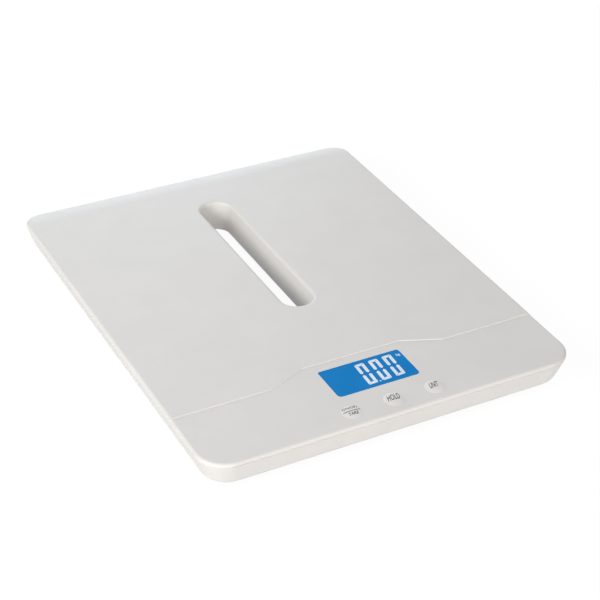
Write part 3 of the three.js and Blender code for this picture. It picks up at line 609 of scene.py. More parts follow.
def floor_openings():
    """The cutters for the slot's sleeve, the door with its pins and scoop, the feet and the screws."""
    def sleeve_outline(grow):
        return slot_outline(SLEEVE_WALL + FIT_GAP + grow)

    cutters = [
        floor_opening("sleeve_hole", sleeve_outline, FLOOR_Z + COLLAR_HEIGHT + OVERRUN),
        floor_opening("door_opening", door_outline(DOOR_GAP), door_top_z() + FIT_GAP),
        rod("pin_holes", PIN_RADIUS + FIT_GAP, door_half_width() + DOOR_GAP + PIN_LENGTH),
        floor_opening("scoop", scoop_outline, BOTTOM_Z + TAB_THICKNESS + FIT_GAP),
    ]
    for name in CORNERS:
        foot_low, foot_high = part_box(f"foot_{name}")
        hole = circle(centre_of(f"foot_{name}"), (foot_high.x - foot_low.x) / 2 + FOOT_HOLE_GAP)
        cutters.append(floor_opening("foot_hole", hole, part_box(f"load_cell_{name}")[0].z - FIT_GAP))
    for name in CASE_SCREWS:
        pocket = circle(centre_of(f"case_screw_{name}"), POCKET_RADIUS, SMALL_SIDES)
        cutters.append(floor_opening("screw_pocket", pocket, BOTTOM_Z + POCKET_DEPTH))
    return cutters


def bottom_shell():
    rest_z = SKIRT_Z - LIP_REST_GAP
    lip_inset = flank_inset(LIP_Z - LIP_EDGE)
    groove_inset = lip_inset + PARTING_GROOVE_DEPTH
    flank = flank_profile(0, LIP_Z - LIP_EDGE)
    flank += [(lip_inset - grow, level(z)) for grow, z in edge_up(LIP_EDGE, LIP_Z)[1:]]
    flank += [(groove_inset, level(LIP_Z)), (groove_inset, level(rest_z))]
    shell = case_loft("bottom_shell", flank)
    cut(shell, case_loft("tray_hollow", flank_profile(WALL, rest_z + OVERRUN)))
    join(shell, inside("bottom_cover", case_loft("over_floor", flank_profile(WALL - FLOOR_LAP, LIP_Z))))
    return cut(shell, *floor_openings())


# Battery door
def door_half_width():
    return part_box("battery_door")[1].x - DOOR_GAP - PIN_LENGTH + FIT_GAP


def door_top_z():
    return BOTTOM_Z + DOOR_THICKNESS


def door_outline(grow_all):
    low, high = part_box("battery_door")
    front_y = low.y + TAB_REACH
    centre = Vector((0, (front_y + high.y) / 2))
    return rounded_rect(
        centre, 2 * (door_half_width() + grow_all), high.y - front_y + 2 * grow_all, DOOR_CORNER_RADIUS,
    )


def tab_outline(grow):
    centre = Vector((0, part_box("battery_door")[0].y + TAB_REACH))
    return rounded_rect(centre, TAB_WIDTH, 2 * TAB_REACH, TAB_REACH / 2)(grow)


def scoop_outline(grow):
    centre = Vector((0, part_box("battery_door")[0].y + TAB_REACH - DOOR_GAP))
    return rounded_rect(centre, TAB_WIDTH + 2 * TAB_REACH, 4 * TAB_REACH, TAB_REACH)(grow)


def rod(name, radius, half_length):
    """A rod along X about the door's hinge axis."""
    axis_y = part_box("battery_door")[1].y - HINGE_RADIUS
    axis_z = BOTTOM_Z + HINGE_RADIUS
    rings = []
    for x in (-half_length, half_length):
        angles = [2 * math.pi * i / SMALL_SIDES for i in range(SMALL_SIDES)]
        rings.append([(x, axis_y + radius * math.cos(a), axis_z + radius * math.sin(a)) for a in angles])
    return loft(name, rings)


def battery_door():
    low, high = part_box("battery_door")
    front_y = low.y + TAB_REACH
    axis_y = high.y - HINGE_RADIUS
    half = door_half_width()
    plate_outline = rounded_rect(
        Vector((0, (front_y + axis_y) / 2)), 2 * half, axis_y - front_y, DOOR_CORNER_RADIUS,
    )
    door = flared("door", plate_outline, edge_down(HOLE_EDGE, BOTTOM_Z) + [(0, door_top_z())])
    join(
        door,
        rod("barrel", HINGE_RADIUS, half),
        rod("pins", PIN_RADIUS, half + DOOR_GAP + PIN_LENGTH - FIT_GAP),
        flared("tab", tab_outline, edge_down(HOLE_EDGE, BOTTOM_Z) + [(0, BOTTOM_Z + TAB_THICKNESS)]),
    )
    cutters = []
    carved = straight(BOTTOM_Z - OVERRUN, BOTTOM_Z + DOOR_RIB_DEPTH)
    for i in range(DOOR_RIB_COUNT):
        centre = Vector((0, front_y + DOOR_RIB_PITCH * (i + 1)))
        outline = rounded_rect(centre, TAB_WIDTH, DOOR_RIB_WIDTH, DOOR_RIB_WIDTH / 2)
        cutters.append(flared("grip_groove", outline, carved))
    arrow_y = front_y + DOOR_RIB_PITCH * (DOOR_RIB_COUNT + 2)
    arrow = [(0, arrow_y), (ARROW_SIZE, arrow_y + ARROW_SIZE), (-ARROW_SIZE, arrow_y + ARROW_SIZE)]
    cutters.append(flared("arrow", lambda grow: arrow, carved))
    return cut(door, *cutters)


# Display window
def window_outline(inset):
    """The window's edge, its back corners sharper than the front ones."""
    low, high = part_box("display_window")
    width = high.x - low.x - 2 * WINDOW_FLANGE
    depth = high.y - low.y - 2 * WINDOW_FLANGE
    radii = (WINDOW_FRONT_CORNER, WINDOW_BACK_CORNER, WINDOW_BACK_CORNER, WINDOW_FRONT_CORNER)
    return rounded_rect(
        centre_of("display_window"), width - 2 * inset, depth - 2 * inset, [r - inset for r in radii],
    )


def display_lens():
    low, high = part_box("display_window")
    lens = flared("display_lens", window_outline(WINDOW_GAP), [(0, low.z)] + edge_up(LENS_EDGE, high.z))
    flange_levels = straight(low.z, low.z + WINDOW_FLANGE_THICKNESS)
    return join(lens, flared("lens_flange", window_outline(-WINDOW_FLANGE), flange_levels))


def printed(name, outlines):
    """Closed flat shapes laid on the lens, each a little proud of it."""
    lens_z = lens_level(0, 0)
    vertices = []
    faces = []
    for outline in outlines:
        count = len(outline)
        start = len(vertices)
        for z in (lens_z - PRINT_THICKNESS, lens_z + PRINT_THICKNESS):
            vertices += [(x, y, z) for x, y in outline]
        faces.append(tuple(start + i for i in reversed(range(count))))
        faces.append(tuple(start + count + i for i in range(count)))
        for i in range(count):
            j = (i + 1) % count
            faces.append((start + i, start + j, start + count + j, start + count + i))
    return add_object(name, vertices, faces)


def on_display(u, v):
    """A point u to the right and v up from the first digit's lower left corner, slanted and turned."""
    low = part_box("display_window")[0]
    x = u + DIGIT_SLANT * v / DIGIT_HEIGHT
    left = low.x + WINDOW_FLANGE + DIGITS_LEFT
    front = low.y + WINDOW_FLANGE + DIGITS_FRONT
    return (
        left + x * math.cos(DIGITS_TURN) - v * math.sin(DIGITS_TURN),
        front + x * math.sin(DIGITS_TURN) + v * math.cos(DIGITS_TURN),
    )


def digit_zero(left):
    """The six lit segments of a zero, with mitred ends."""
    width = DIGIT_WIDTH
    height = DIGIT_HEIGHT
    stroke = DIGIT_STROKE
    gap = DIGIT_MITRE_GAP
    middle = (height - DIGIT_MIDDLE_GAP) / 2
    point = stroke / 2
    clip = DIGIT_CLIP
    lower = [
        (0, clip + gap), (clip / 2, clip / 2 + gap), (stroke, stroke + gap),
        (stroke, middle - point), (stroke / 2, middle), (0, middle - point),
    ]
    base_left = [(stroke + gap, stroke), (clip / 2 + gap, clip / 2), (clip + gap, 0)]
    base = base_left + [(width - u, v) for u, v in reversed(base_left)]
    shapes = []
    for flip_u in (False, True):
        for flip_v in (False, True):
            shapes.append([(width - u if flip_u else u, height - v if flip_v else v) for u, v in lower])
    for flip_v in (False, True):
        shapes.append([(u, height - v if flip_v else v) for u, v in base])
    return [[on_display(left + u, v) for u, v in turn_left(shape)] for shape in shapes]


def turn_left(shape):
    """The same corners, listed so that they turn to the left."""
    area = sum(a[0] * b[1] - b[0] * a[1] for a, b in zip(shape, shape[1:] + shape[:1]))
    return shape if area > 0 else shape[::-1]


def display_digits():
    outlines = []
    for i in range(DIGIT_COUNT):
        outlines += digit_zero(i * DIGIT_PITCH)
    side = POINT_SIDE
    left = DIGIT_PITCH - (DIGIT_PITCH - DIGIT_WIDTH) / 2 - side / 2
    outlines.append([on_display(left + u, v) for u, v in ((0, 0), (side, 0), (side, side), (0, side))])
    return printed("display_digits", outlines)


# Lettering: thin closed shapes from the built-in font, laid on a surface
def lettering(name, words, width, height, centre, surface, weight, lean=0.0):
    """Words fitted to a width and a height about a point, a little proud of surface(x, y)."""
    curve = bpy.data.curves.new(name, "FONT")
    curve.body = words
    curve.extrude = 1
    curve.offset = weight
    curve.resolution_u = LETTER_STEPS
    text = bpy.data.objects.new(name, curve)
    bpy.context.scene.collection.objects.link(text)
    graph = bpy.context.evaluated_depsgraph_get()
    mesh = bpy.data.meshes.new_from_object(text.evaluated_get(graph))
    bpy.data.objects.remove(text)
    xs = [v.co.x for v in mesh.vertices]
    ys = [v.co.y for v in mesh.vertices]
    low_x, high_x = min(xs), max(xs)
    low_y, high_y = min(ys), max(ys)
    middle = Matrix.Translation((-(low_x + high_x) / 2, -(low_y + high_y) / 2, 0))
    fit = Matrix.Diagonal((width / (high_x - low_x), height / (high_y - low_y), PRINT_THICKNESS, 1))
    slant = Matrix.Identity(4)
    slant[0][1] = lean
    mesh.transform(slant @ fit @ middle)
    drape(mesh, centre, surface)
    piece = bpy.data.objects.new(name, mesh)
    bpy.context.scene.collection.objects.link(piece)
    return piece


def drape(mesh, centre, surface):
    """Moves a flat mesh to a place and bends it onto a surface, once it is split into narrow tiles."""
    work = bmesh.new()
    work.from_mesh(mesh)
    bmesh.ops.remove_doubles(work, verts=work.verts, dist=WELD)
    for axis in (0, 1):
        reach = max(abs(v.co[axis]) for v in work.verts)
        for i in range(math.ceil(-reach / TILE), math.floor(reach / TILE) + 1):
            normal = Vector((0, 0, 0))
            normal[axis] = 1
            everything = work.verts[:] + work.edges[:] + work.faces[:]
            bmesh.ops.bisect_plane(work, geom=everything, plane_co=normal * (i * TILE), plane_no=normal)
    for vertex in work.verts:
        vertex.co.x += centre.x
        vertex.co.y += centre.y
        vertex.co.z += surface(vertex.co.x, vertex.co.y)
    bmesh.ops.recalc_face_normals(work, faces=work.faces)
    work.to_mesh(mesh)
    work.free()


def lens_level(x, y):
    """The lens is level, so its height is the same at every x and y."""
    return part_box("display_window")[1].z


def display_unit():
    """The small unit mark to the right of the digits' upper end."""
    x, y = on_display(KILOGRAM_LEFT, KILOGRAM_FRONT)
    return lettering(
        "display_unit", "kg", KILOGRAM_WIDTH, KILOGRAM_HEIGHT, Vector((x, y)), lens_level, KILOGRAM_WEIGHT,
    )


# Buttons
def button_radius():
    low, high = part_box("hold_button")
    return (high.x - low.x) / 2 - BUTTON_FLANGE


def dome_height(distance):
    return CONSOLE_Z + BUTTON_DOME * (1 - (distance / button_radius()) ** 2)


def button_cap(name):
    stem_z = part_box(f"{name}_button")[0].z
    radius = button_radius()
    flange = radius + BUTTON_FLANGE
    profile = [
        (0, stem_z), (STEM_RADIUS, stem_z), (STEM_RADIUS, stem_z + STEM_LENGTH),
        (flange, stem_z + STEM_LENGTH), (flange, CEILING_Z - FIT_GAP), (radius, CEILING_Z - FIT_GAP),
    ]
    shoulder = radius - BUTTON_EDGE
    for t in quarter_turns():
        profile.append((
            shoulder + BUTTON_EDGE * math.cos(t), dome_height(shoulder) - BUTTON_EDGE * (1 - math.sin(t)),
        ))
    for i in range(1, DOME_STEPS):
        distance = shoulder * (1 - i / DOME_STEPS)
        profile.append((distance, dome_height(distance)))
    profile.append((0, dome_height(0)))
    return turned(f"{name}_cap", profile, centre_of(f"{name}_button"))


def on_button(name):
    centre = centre_of(f"{name}_button")
    return lambda x, y: dome_height(math.hypot(x - centre.x, y - centre.y))


def button_rule():
    """The thin line between the two words of the first button."""
    rule = add_object("tare_rule", [], [])
    work = bmesh.new()
    bmesh.ops.create_cube(work, size=1)
    bmesh.ops.scale(work, vec=(RULE_LENGTH, RULE_WIDTH, 2 * PRINT_THICKNESS), verts=work.verts)
    work.to_mesh(rule.data)
    work.free()
    drape(rule.data, centre_of("tare_button") + RULE_SHIFT, on_button("tare"))
    return rule


def button_words(button, name, words, width, height, shift):
    centre = centre_of(f"{button}_button") + shift
    return lettering(name, words, width, height, centre, on_button(button), WORD_WEIGHT, WORD_LEAN)


# Feet and their pads
def foot(name):
    low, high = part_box(f"foot_{name}")
    radius = (high.x - low.x) / 2
    recess = radius - FOOT_RIM_WALL
    disc_z = low.z + FOOT_DISC_HEIGHT
    neck_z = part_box(f"load_cell_{name}")[0].z - FOOT_NECK_GAP
    head_z = high.z - FOOT_HEAD_HEIGHT
    profile = [(0, low.z + FOOT_RECESS), (recess, low.z + FOOT_RECESS), (recess, low.z)]
    profile += [(radius + grow, z) for grow, z in edge_down(FOOT_EDGE, low.z) + edge_up(FOOT_EDGE, disc_z)]
    profile += [
        (FOOT_NECK_RADIUS, disc_z), (FOOT_NECK_RADIUS, neck_z), (FOOT_PEG_RADIUS, neck_z),
        (FOOT_PEG_RADIUS, head_z), (FOOT_HEAD_RADIUS, head_z), (FOOT_HEAD_RADIUS, high.z), (0, high.z),
    ]
    return turned(f"{name}_foot", profile, centre_of(f"foot_{name}"))


def foot_pad(name):
    """A rubber pad with round grooves in its underside."""
    low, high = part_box(f"foot_pad_{name}")
    radius = (high.x - low.x) / 2
    profile = [(0, low.z)]
    for ring in PAD_RINGS:
        profile += [
            (ring, low.z), (ring, low.z + PAD_RING_DEPTH),
            (ring + PAD_RING_WIDTH, low.z + PAD_RING_DEPTH), (ring + PAD_RING_WIDTH, low.z),
        ]
    profile += [(radius + grow, z) for grow, z in edge_down(PAD_EDGE, low.z)]
    profile += [(radius, high.z), (0, high.z)]
    return turned(f"{name}_pad", profile, centre_of(f"foot_pad_{name}"))


# Case screws: a rounded head with a cross recess, over a ridged shank
def case_screw(name):
    low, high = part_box(f"case_screw_{name}")
    centre = centre_of(f"case_screw_{name}")
    radius = (high.x - low.x) / 2
    seat_z = low.z + SCREW_HEAD_HEIGHT
    profile = [(0, low.z)]
    for t in quarter_turns()[1:]:
        profile.append((radius * math.sin(t) ** HEAD_POWER, low.z + HEAD_CROWN * (1 - math.cos(t))))
    profile.append((radius, seat_z))
    z = seat_z
    while z + SCREW_PITCH < high.z - SCREW_SHAFT:
        profile += [(SCREW_SHAFT - SCREW_THREAD, z), (SCREW_SHAFT, z + SCREW_PITCH / 2)]
        z += SCREW_PITCH
    profile += [(SCREW_SHAFT - SCREW_THREAD, z), (0, high.z)]
    screw = turned(f"{name}_screw", profile, centre, SMALL_SIDES)
    reach = 2 * radius * DRIVE_REACH_SHARE
    levels = straight(low.z - DRIVE_DEPTH, low.z + DRIVE_DEPTH)
    slots = []
    for width, depth in ((reach, DRIVE_WIDTH), (DRIVE_WIDTH, reach)):
        outline = rounded_rect(centre, width, depth, DRIVE_WIDTH / 4, DRIVE_CORNER_STEPS)
        slots.append(flared("drive", outline, levels))
    return cut(screw, *slots)


# Battery cells: a printed sleeve rolled over each end of the can, with the raised positive end
def battery(name, way):
    low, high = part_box(name)
    centre = (low + high) / 2
    radius = (high.z - low.z) / 2
    half = (high.x - low.x - BATTERY_NUB) / 2
    lip = radius - SLEEVE_LIP
    profile = [(0, -half + SLEEVE_LIP), (lip, -half + SLEEVE_LIP)]
    for t in quarter_turns():
        profile.append((radius - SLEEVE_LIP * (1 - math.sin(t)), -half + SLEEVE_LIP * (1 - math.cos(t))))
    for t in quarter_turns():
        profile.append((radius - SLEEVE_LIP * (1 - math.cos(t)), half - SLEEVE_LIP * (1 - math.sin(t))))
    profile += [
        (lip, half - SLEEVE_LIP), (BATTERY_NUB_RADIUS, half - SLEEVE_LIP),
        (BATTERY_NUB_RADIUS, half + BATTERY_NUB), (0, half + BATTERY_NUB),
    ]
    cell = turned(f"{name}_cell", profile, Vector((0, 0)), SMALL_SIDES)
    middle = Vector((centre.x - way * BATTERY_NUB / 2, centre.y, centre.z))
    lay_down = Matrix.Rotation(way * math.pi / 2, 4, "Y")
    cell.data.transform(Matrix.Translation(middle) @ lay_down)
    return cell


# Materials: each has its own grain, mottling and varied roughness, in metres of the object
def rgb(red, green, blue):
    """A colour given as it shows on a screen, from 0 to 255, as linear light by the sRGB curve."""
    parts = []
    for level_255 in (red, green, blue):
        part = level_255 / 255
        parts.append(part / 12.92 if part <= 0.04045 else ((part + 0.055) / 1.055) ** 2.4)
    return (*parts, 1)


def new_surface(name, roughness, metallic=0.0, specular=PLAIN_SPECULAR):
    made = bpy.data.materials.new(name)
    made.use_nodes = True
    shader = made.node_tree.nodes["Principled BSDF"]
    shader.inputs["Roughness"].default_value = roughness
    shader.inputs["Metallic"].default_value = metallic
    shader.inputs["Specular IOR Level"].default_value = specular
    return made, made.node_tree, shader


def noise(tree, size, detail=NOISE_DETAIL, stretch=(1, 1, 1)):
    """A noise whose patches are about size metres across, drawn out along an axis by stretch."""
    place = tree.nodes.new("ShaderNodeTexCoord")
    mapping = tree.nodes.new("ShaderNodeMapping")
    mapping.inputs["Scale"].default_value = [1 / (size * s) for s in stretch]
    texture = tree.nodes.new("ShaderNodeTexNoise")
    texture.inputs["Scale"].default_value = 1
    texture.inputs["Detail"].default_value = detail
    tree.links.new(place.outputs["Object"], mapping.inputs["Vector"])
    tree.links.new(mapping.outputs["Vector"], texture.inputs["Vector"])
    return texture.outputs["Fac"]


def vary_roughness(tree, shader, factor, low, high):
    spread = tree.nodes.new("ShaderNodeMapRange")
    spread.inputs["From Min"].default_value = NOISE_LOW
    spread.inputs["From Max"].default_value = NOISE_HIGH
    spread.inputs["To Min"].default_value = low
    spread.inputs["To Max"].default_value = high
    tree.links.new(factor, spread.inputs["Value"])
    tree.links.new(spread.outputs["Result"], shader.inputs["Roughness"])


def vary_colour(tree, shader, factor, dark, light, edge=(NOISE_LOW, NOISE_HIGH)):
    ramp = tree.nodes.new("ShaderNodeValToRGB")
    ramp.color_ramp.elements[0].position = edge[0]
    ramp.color_ramp.elements[0].color = dark
    ramp.color_ramp.elements[1].position = edge[1]
    ramp.color_ramp.elements[1].color = light
    tree.links.new(factor, ramp.inputs["Fac"])
    tree.links.new(ramp.outputs["Color"], shader.inputs["Base Color"])
    return ramp.color_ramp


def relief(tree, shader, factor, depth):
    bump = tree.nodes.new("ShaderNodeBump")
    bump.inputs["Distance"].default_value = depth
    tree.links.new(factor, bump.inputs["Height"])
    tree.links.new(bump.outputs["Normal"], shader.inputs["Normal"])


def shade_of(colour, share):
    return (*[part * share for part in colour[:3]], 1)


def moulded(
    name, colour, roughness,
    grain=GRAIN_SIZE, depth=GRAIN_DEPTH, mottle=MOTTLE_SHARE, specular=PLAIN_SPECULAR,
):
    """A moulded plastic or rubber with a fine matt grain and faintly uneven colour."""
    made, tree, shader = new_surface(name, roughness, specular=specular)
    broad = noise(tree, MOTTLE_SIZE)
    vary_colour(tree, shader, broad, shade_of(colour, 1 - mottle), shade_of(colour, 1 + mottle))
    sheen = noise(tree, grain * SHEEN_PER_GRAIN)
    vary_roughness(tree, shader, sheen, roughness - ROUGHNESS_SPREAD, roughness + ROUGHNESS_SPREAD)
    relief(tree, shader, noise(tree, grain, FINE_DETAIL), depth)
    return made


def sheet_metal(name, colour, roughness, stretch=METAL_LINE_STRETCH):
    """A rolled or plated metal with fine lines along one way."""
    made, tree, shader = new_surface(name, roughness, metallic=1.0)
    stain = noise(tree, METAL_STAIN_SIZE, FINE_DETAIL)
    vary_colour(tree, shader, stain, shade_of(colour, METAL_STAIN_SHARE), colour)
    lines = noise(tree, METAL_LINE_SIZE, NOISE_DETAIL, stretch)
    vary_roughness(tree, shader, lines, *[roughness * share for share in METAL_SHEEN_SHARES])
    relief(tree, shader, lines, METAL_LINE_DEPTH)
    return made


def circuit_board():
    """Solder mask over tracks that run under it."""
    made, tree, shader = new_surface("solder_mask", MASK_ROUGHNESS)
    place = tree.nodes.new("ShaderNodeTexCoord")
    tracks = tree.nodes.new("ShaderNodeTexBrick")
    tracks.inputs["Scale"].default_value = TRACKS_PER_METRE
    tracks.inputs["Color1"].default_value = MASK_DARK
    tracks.inputs["Color2"].default_value = MASK_LIGHT
    tracks.inputs["Mortar"].default_value = TRACK_COLOUR
    tracks.inputs["Mortar Size"].default_value = TRACK_WIDTH_SHARE
    tree.links.new(place.outputs["Object"], tracks.inputs["Vector"])
    tree.links.new(tracks.outputs["Color"], shader.inputs["Base Color"])
    relief(tree, shader, tracks.outputs["Fac"], TRACK_DEPTH)
    vary_roughness(tree, shader, noise(tree, MASK_GRAIN_SIZE), *MASK_SHEEN)
    return made


def clear_panel(name, dark, light, roughness, specular=PLAIN_SPECULAR):
    """A smooth panel whose colour drifts a little from place to place."""
    made, tree, shader = new_surface(name, roughness, specular=specular)
    vary_colour(tree, shader, noise(tree, PANEL_DRIFT_SIZE), dark, light)
    grain = noise(tree, PANEL_GRAIN_SIZE)
    vary_roughness(tree, shader, grain, *[roughness * share for share in PANEL_SHEEN_SHARES])
    relief(tree, shader, noise(tree, PANEL_RIPPLE_SIZE), PANEL_RIPPLE_DEPTH)
    return made


def battery_sleeve(name, way):
    """A printed sleeve: a bare metal end, a copper-toned band at the positive end and a dark body."""
    made, tree, shader = new_surface(name, SLEEVE_ROUGHNESS, metallic=SLEEVE_METALLIC)
    low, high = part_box(name)
    place = tree.nodes.new("ShaderNodeTexCoord")
    split = tree.nodes.new("ShaderNodeSeparateXYZ")
    along = tree.nodes.new("ShaderNodeMapRange")
    start, end = (low.x, high.x) if way > 0 else (high.x, low.x)
    along.inputs["From Min"].default_value = start
    along.inputs["From Max"].default_value = end
    tree.links.new(place.outputs["Object"], split.inputs["Vector"])
    tree.links.new(split.outputs["X"], along.inputs["Value"])
    bands = vary_colour(tree, shader, along.outputs["Result"], STEEL_TONE, STEEL_TONE, (0, 1))
    bands.interpolation = "CONSTANT"
    for position, colour in ((SLEEVE_START, DARK_SLEEVE), (BAND_START, COPPER_BAND), (BAND_END, STEEL_TONE)):
        bands.elements.new(position).color = colour
    vary_roughness(tree, shader, noise(tree, SLEEVE_SHEEN_SIZE, FINE_DETAIL), *SLEEVE_SHEEN)
    relief(tree, shader, noise(tree, SLEEVE_GRAIN_SIZE, FINE_DETAIL), SLEEVE_GRAIN_DEPTH)
    return made


# Colours and finishes
CASE_COLOUR = rgb(222, 220, 218)
MASK_DARK = rgb(24, 98, 60)
MASK_LIGHT = rgb(30, 112, 70)
TRACK_COLOUR = rgb(46, 132, 84)
WINDOW_DARK = rgb(19, 128, 203)
WINDOW_LIGHT = rgb(23, 133, 208)
# Painted glow: pale colours for the display's digits and kg mark, standing in for the backlight shining
# through them
PAINTED_GLOW_DARK = rgb(228, 238, 250)
PAINTED_GLOW_LIGHT = rgb(238, 245, 253)
PRINT_COLOUR = rgb(46, 43, 43)
STEEL_TONE = rgb(200, 201, 203)
DARK_SLEEVE = rgb(38, 40, 44)
COPPER_BAND = rgb(186, 122, 74)

finishes = {
    "case": moulded("case_plastic", CASE_COLOUR, roughness=0.5, grain=0.001, depth=0.0000025),
    "button": moulded("button_plastic", rgb(227, 225, 223), roughness=0.45, depth=0.000003),
    "foot": moulded("foot_plastic", rgb(214, 213, 211), roughness=0.5),
    "holder": moulded("holder_plastic", rgb(233, 233, 230), roughness=0.55),
    "header": moulded("header_plastic", rgb(240, 238, 228), roughness=0.5),
    "switch": moulded("switch_plastic", rgb(30, 30, 32), roughness=0.45),
    "plunger": moulded("plunger_plastic", rgb(74, 76, 79), roughness=0.45),
    "cradle": moulded("cradle_plastic", rgb(43, 44, 46), roughness=0.55, depth=0.00001),
    "pad": moulded(
        "pad_rubber", rgb(56, 57, 59), roughness=0.8, grain=0.0003, depth=0.00002, mottle=0.06,
    ),
    "lead": moulded("lead_sheath", rgb(201, 203, 206), roughness=0.55, mottle=0.04),
    "positive_lead": moulded("red_sheath", rgb(176, 38, 31), roughness=0.5, mottle=0.04),
    "negative_lead": moulded("black_sheath", rgb(28, 28, 30), roughness=0.5, mottle=0.04),
    "blob": moulded("epoxy", rgb(22, 23, 25), roughness=0.25, grain=0.002, depth=0.00002),
    "steel": sheet_metal("rolled_steel", rgb(188, 190, 193), roughness=0.35),
    "contact": sheet_metal("nickel_plate", rgb(211, 208, 200), roughness=0.25, stretch=(1, 20, 1)),
    "screw": sheet_metal("zinc_plate", rgb(196, 199, 204), roughness=0.3, stretch=(1, 1, 1)),
    "board": circuit_board(),
    "window": clear_panel("window_film", WINDOW_DARK, WINDOW_LIGHT, roughness=0.45, specular=0.03),
    "lcd": clear_panel("display_glass", rgb(40, 54, 62), rgb(48, 64, 74), roughness=0.12),
    "backlight": clear_panel("milky_panel", rgb(230, 236, 240), rgb(240, 245, 248), roughness=0.3),
}
# The digits and the kg mark glow by painted colour only, pale as if backlit; they give off no light
glow_painted_segments = clear_panel("glow_painted_segments", PAINTED_GLOW_DARK, PAINTED_GLOW_LIGHT, roughness=0.5, specular=0.1)
button_print = moulded("button_print", PRINT_COLOUR, roughness=0.6, mottle=0.05, specular=0.2)


# Assembly
def smooth(piece):
    drop_custom_normals(piece.data)
    piece.data.shade_smooth()
    piece.data.set_sharp_from_angle(angle=SHARP_ANGLE)
    weigh = piece.modifiers.new("weigh_normals", "WEIGHTED_NORMAL")
    weigh.keep_sharp = True


def dress(piece, body, material_slot, *nodes, finish=None):
    piece.data.materials.clear()
    piece.data.materials.append(finish or finishes[material_slot])
    smooth(piece)
    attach(piece, body)
    if nodes:
        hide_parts(*nodes)


for part in frame["record"]["subparts"]:
    solid = frame["nodes"][part["node"]]
    solid.data.materials.clear()
    solid.data.materials.append(finishes.get(part["material_slot"], finishes["contact"]))

dress(top_shell(), "case", "case", "top_cover")
dress(bottom_shell(), "case", "case", "bottom_cover")
dress(battery_door(), "battery_lid", "case", "battery_door")
dress(display_lens(), "case", "window", "display_window")
# Display digits and unit mark, in the painted backlight glow
dress(display_digits(), "case", "backlight", finish=glow_painted_segments)
dress(display_unit(), "case", "backlight", finish=glow_painted_segments)
for button in BUTTONS:
    dress(button_cap(button), f"{button}_key", "button", f"{button}_button")
button_prints = {
    "tare": [
        button_words("tare", "power_words", "ON/OFF", POWER_WIDTH, SMALL_WORD_HEIGHT, POWER_SHIFT),
        button_rule(),
        button_words("tare", "tare_words", "TARE", TARE_WIDTH, SMALL_WORD_HEIGHT, TARE_SHIFT),
    ],
    "hold": [button_words("hold", "hold_words", "HOLD", HOLD_WIDTH, WORD_HEIGHT, HOLD_SHIFT)],
    "unit": [button_words("unit", "unit_words", "UNIT", UNIT_WIDTH, WORD_HEIGHT, UNIT_SHIFT)],
}
for button, prints in button_prints.items():
    for words in prints:
        dress(words, f"{button}_key", "plunger", finish=button_print)
for corner in CORNERS:
    dress(foot(corner), f"foot_{corner}_body", "foot", f"foot_{corner}")
    dress(foot_pad(corner), f"foot_{corner}_body", "pad", f"foot_pad_{corner}")
for place in CASE_SCREWS:
    dress(case_screw(place), "case", "screw", f"case_screw_{place}")
for number, way in BATTERY_WAYS:
    name = f"battery_{number}"
    dress(battery(name, way), "case", "battery", name, finish=battery_sleeve(name, way))


# Floor and light
def floor():
    """A pale floor that shows white to the camera, keeps a faint shadow and is clear from below."""
    bpy.ops.mesh.primitive_plane_add(size=FLOOR_SIZE, location=(0, 0, -FLOOR_DROP))
    ground = bpy.context.object
    ground.name = "floor"
    made = bpy.data.materials.new("floor")
    made.use_nodes = True
    tree = made.node_tree
    tree.nodes.clear()
    seen = seen_directly(tree)
    share = tree.nodes.new("ShaderNodeMath")
    share.operation = "MULTIPLY"
    share.inputs[1].default_value = FLOOR_GLOW_SHARE
    tree.links.new(seen, share.inputs[0])
    matt = tree.nodes.new("ShaderNodeBsdfDiffuse")
    matt.inputs["Color"].default_value = (FLOOR_TONE, FLOOR_TONE, FLOOR_TONE, 1)
    glow = tree.nodes.new("ShaderNodeEmission")
    glow.inputs["Strength"].default_value = FLOOR_GLOW
    pale = mix_shaders(tree, share.outputs["Value"], matt.outputs["BSDF"], glow.outputs["Emission"])
    clear = tree.nodes.new("ShaderNodeBsdfTransparent")
    side = tree.nodes.new("ShaderNodeNewGeometry")
    both = mix_shaders(tree, side.outputs["Backfacing"], pale, clear.outputs["BSDF"])
    surface = tree.nodes.new("ShaderNodeOutputMaterial")
    tree.links.new(both, surface.inputs["Surface"])
    ground.data.materials.append(made)


def add_up(tree, first, second):
    total = tree.nodes.new("ShaderNodeMath")
    total.operation = "ADD"
    total.use_clamp = True
    tree.links.new(first, total.inputs[0])
    tree.links.new(second, total.inputs[1])
    return total.outputs["Value"]


def seen_directly(tree):
    """1 for what the camera sees, also in a reflection or through glass, and 0 for light on the object."""
    rays = tree.nodes.new("ShaderNodeLightPath")
    seen = add_up(tree, rays.outputs["Is Camera Ray"], rays.outputs["Is Glossy Ray"])
    return add_up(tree, seen, rays.outputs["Is Transmission Ray"])


def mix_shaders(tree, factor, first, second):
    mix = tree.nodes.new("ShaderNodeMixShader")
    tree.links.new(factor, mix.inputs["Fac"])
    tree.links.new(first, mix.inputs[1])
    tree.links.new(second, mix.inputs[2])
    return mix.outputs["Shader"]


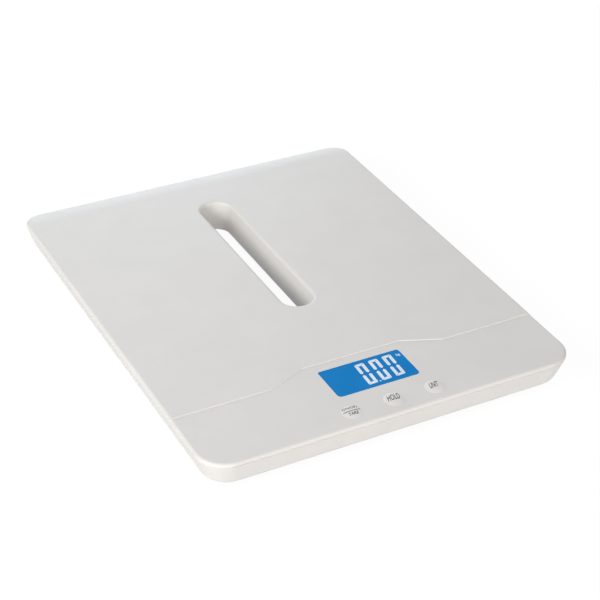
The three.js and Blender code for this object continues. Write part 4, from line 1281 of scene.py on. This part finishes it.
def surroundings():
    """An even soft light all round, seen as white."""
    world = bpy.data.worlds.new("surroundings")
    bpy.context.scene.world = world
    world.use_nodes = True
    tree = world.node_tree
    tree.nodes.clear()
    seen = seen_directly(tree)
    soft = tree.nodes.new("ShaderNodeBackground")
    soft.inputs["Color"].default_value = SKY_TINT
    soft.inputs["Strength"].default_value = SKY_STRENGTH
    white = tree.nodes.new("ShaderNodeBackground")
    white.inputs["Color"].default_value = (1, 1, 1, 1)
    out = tree.nodes.new("ShaderNodeOutputWorld")
    both = mix_shaders(tree, seen, soft.outputs["Background"], white.outputs["Background"])
    tree.links.new(both, out.inputs["Surface"])


def softbox(name, place, power, tint):
    """A round soft lamp that faces the object."""
    data = bpy.data.lights.new(name, "AREA")
    data.shape = "DISK"
    data.size = LAMP_SIZE
    data.energy = power
    data.color = tint
    lamp = bpy.data.objects.new(name, data)
    bpy.context.scene.collection.objects.link(lamp)
    lamp.location = place
    lamp.rotation_euler = (-Vector(place)).to_track_quat("-Z", "Y").to_euler()


def photo_camera():
    """The camera of the photo, level to within a small roll, looking down from the front left."""
    across = Vector((math.cos(CAMERA_AZIMUTH), math.sin(CAMERA_AZIMUTH), 0))
    back = Vector((
        math.sin(CAMERA_AZIMUTH) * math.cos(CAMERA_ELEVATION),
        -math.cos(CAMERA_AZIMUTH) * math.cos(CAMERA_ELEVATION),
        math.sin(CAMERA_ELEVATION),
    ))
    right = math.cos(CAMERA_ROLL) * across + math.sin(CAMERA_ROLL) * back.cross(across)
    turn = Matrix((right, back.cross(right), back)).transposed().to_4x4()
    data = bpy.data.cameras.new("photo_camera")
    data.sensor_width = SENSOR_WIDTH
    data.lens = FOCAL_PIXELS * SENSOR_WIDTH / FRAME_PIXELS
    data.clip_end = FLOOR_SIZE
    camera = bpy.data.objects.new("photo_camera", data)
    bpy.context.scene.collection.objects.link(camera)
    target = Vector((CAMERA_TARGET_X, CAMERA_TARGET_Y, PLATFORM_Z))
    camera.matrix_world = Matrix.Translation(target + CAMERA_DISTANCE * back) @ turn
    bpy.context.scene.camera = camera


floor()
surroundings()
for lamp in LAMPS:
    softbox(**lamp)
photo_camera()
bpy.context.scene.view_settings.view_transform = "Standard"
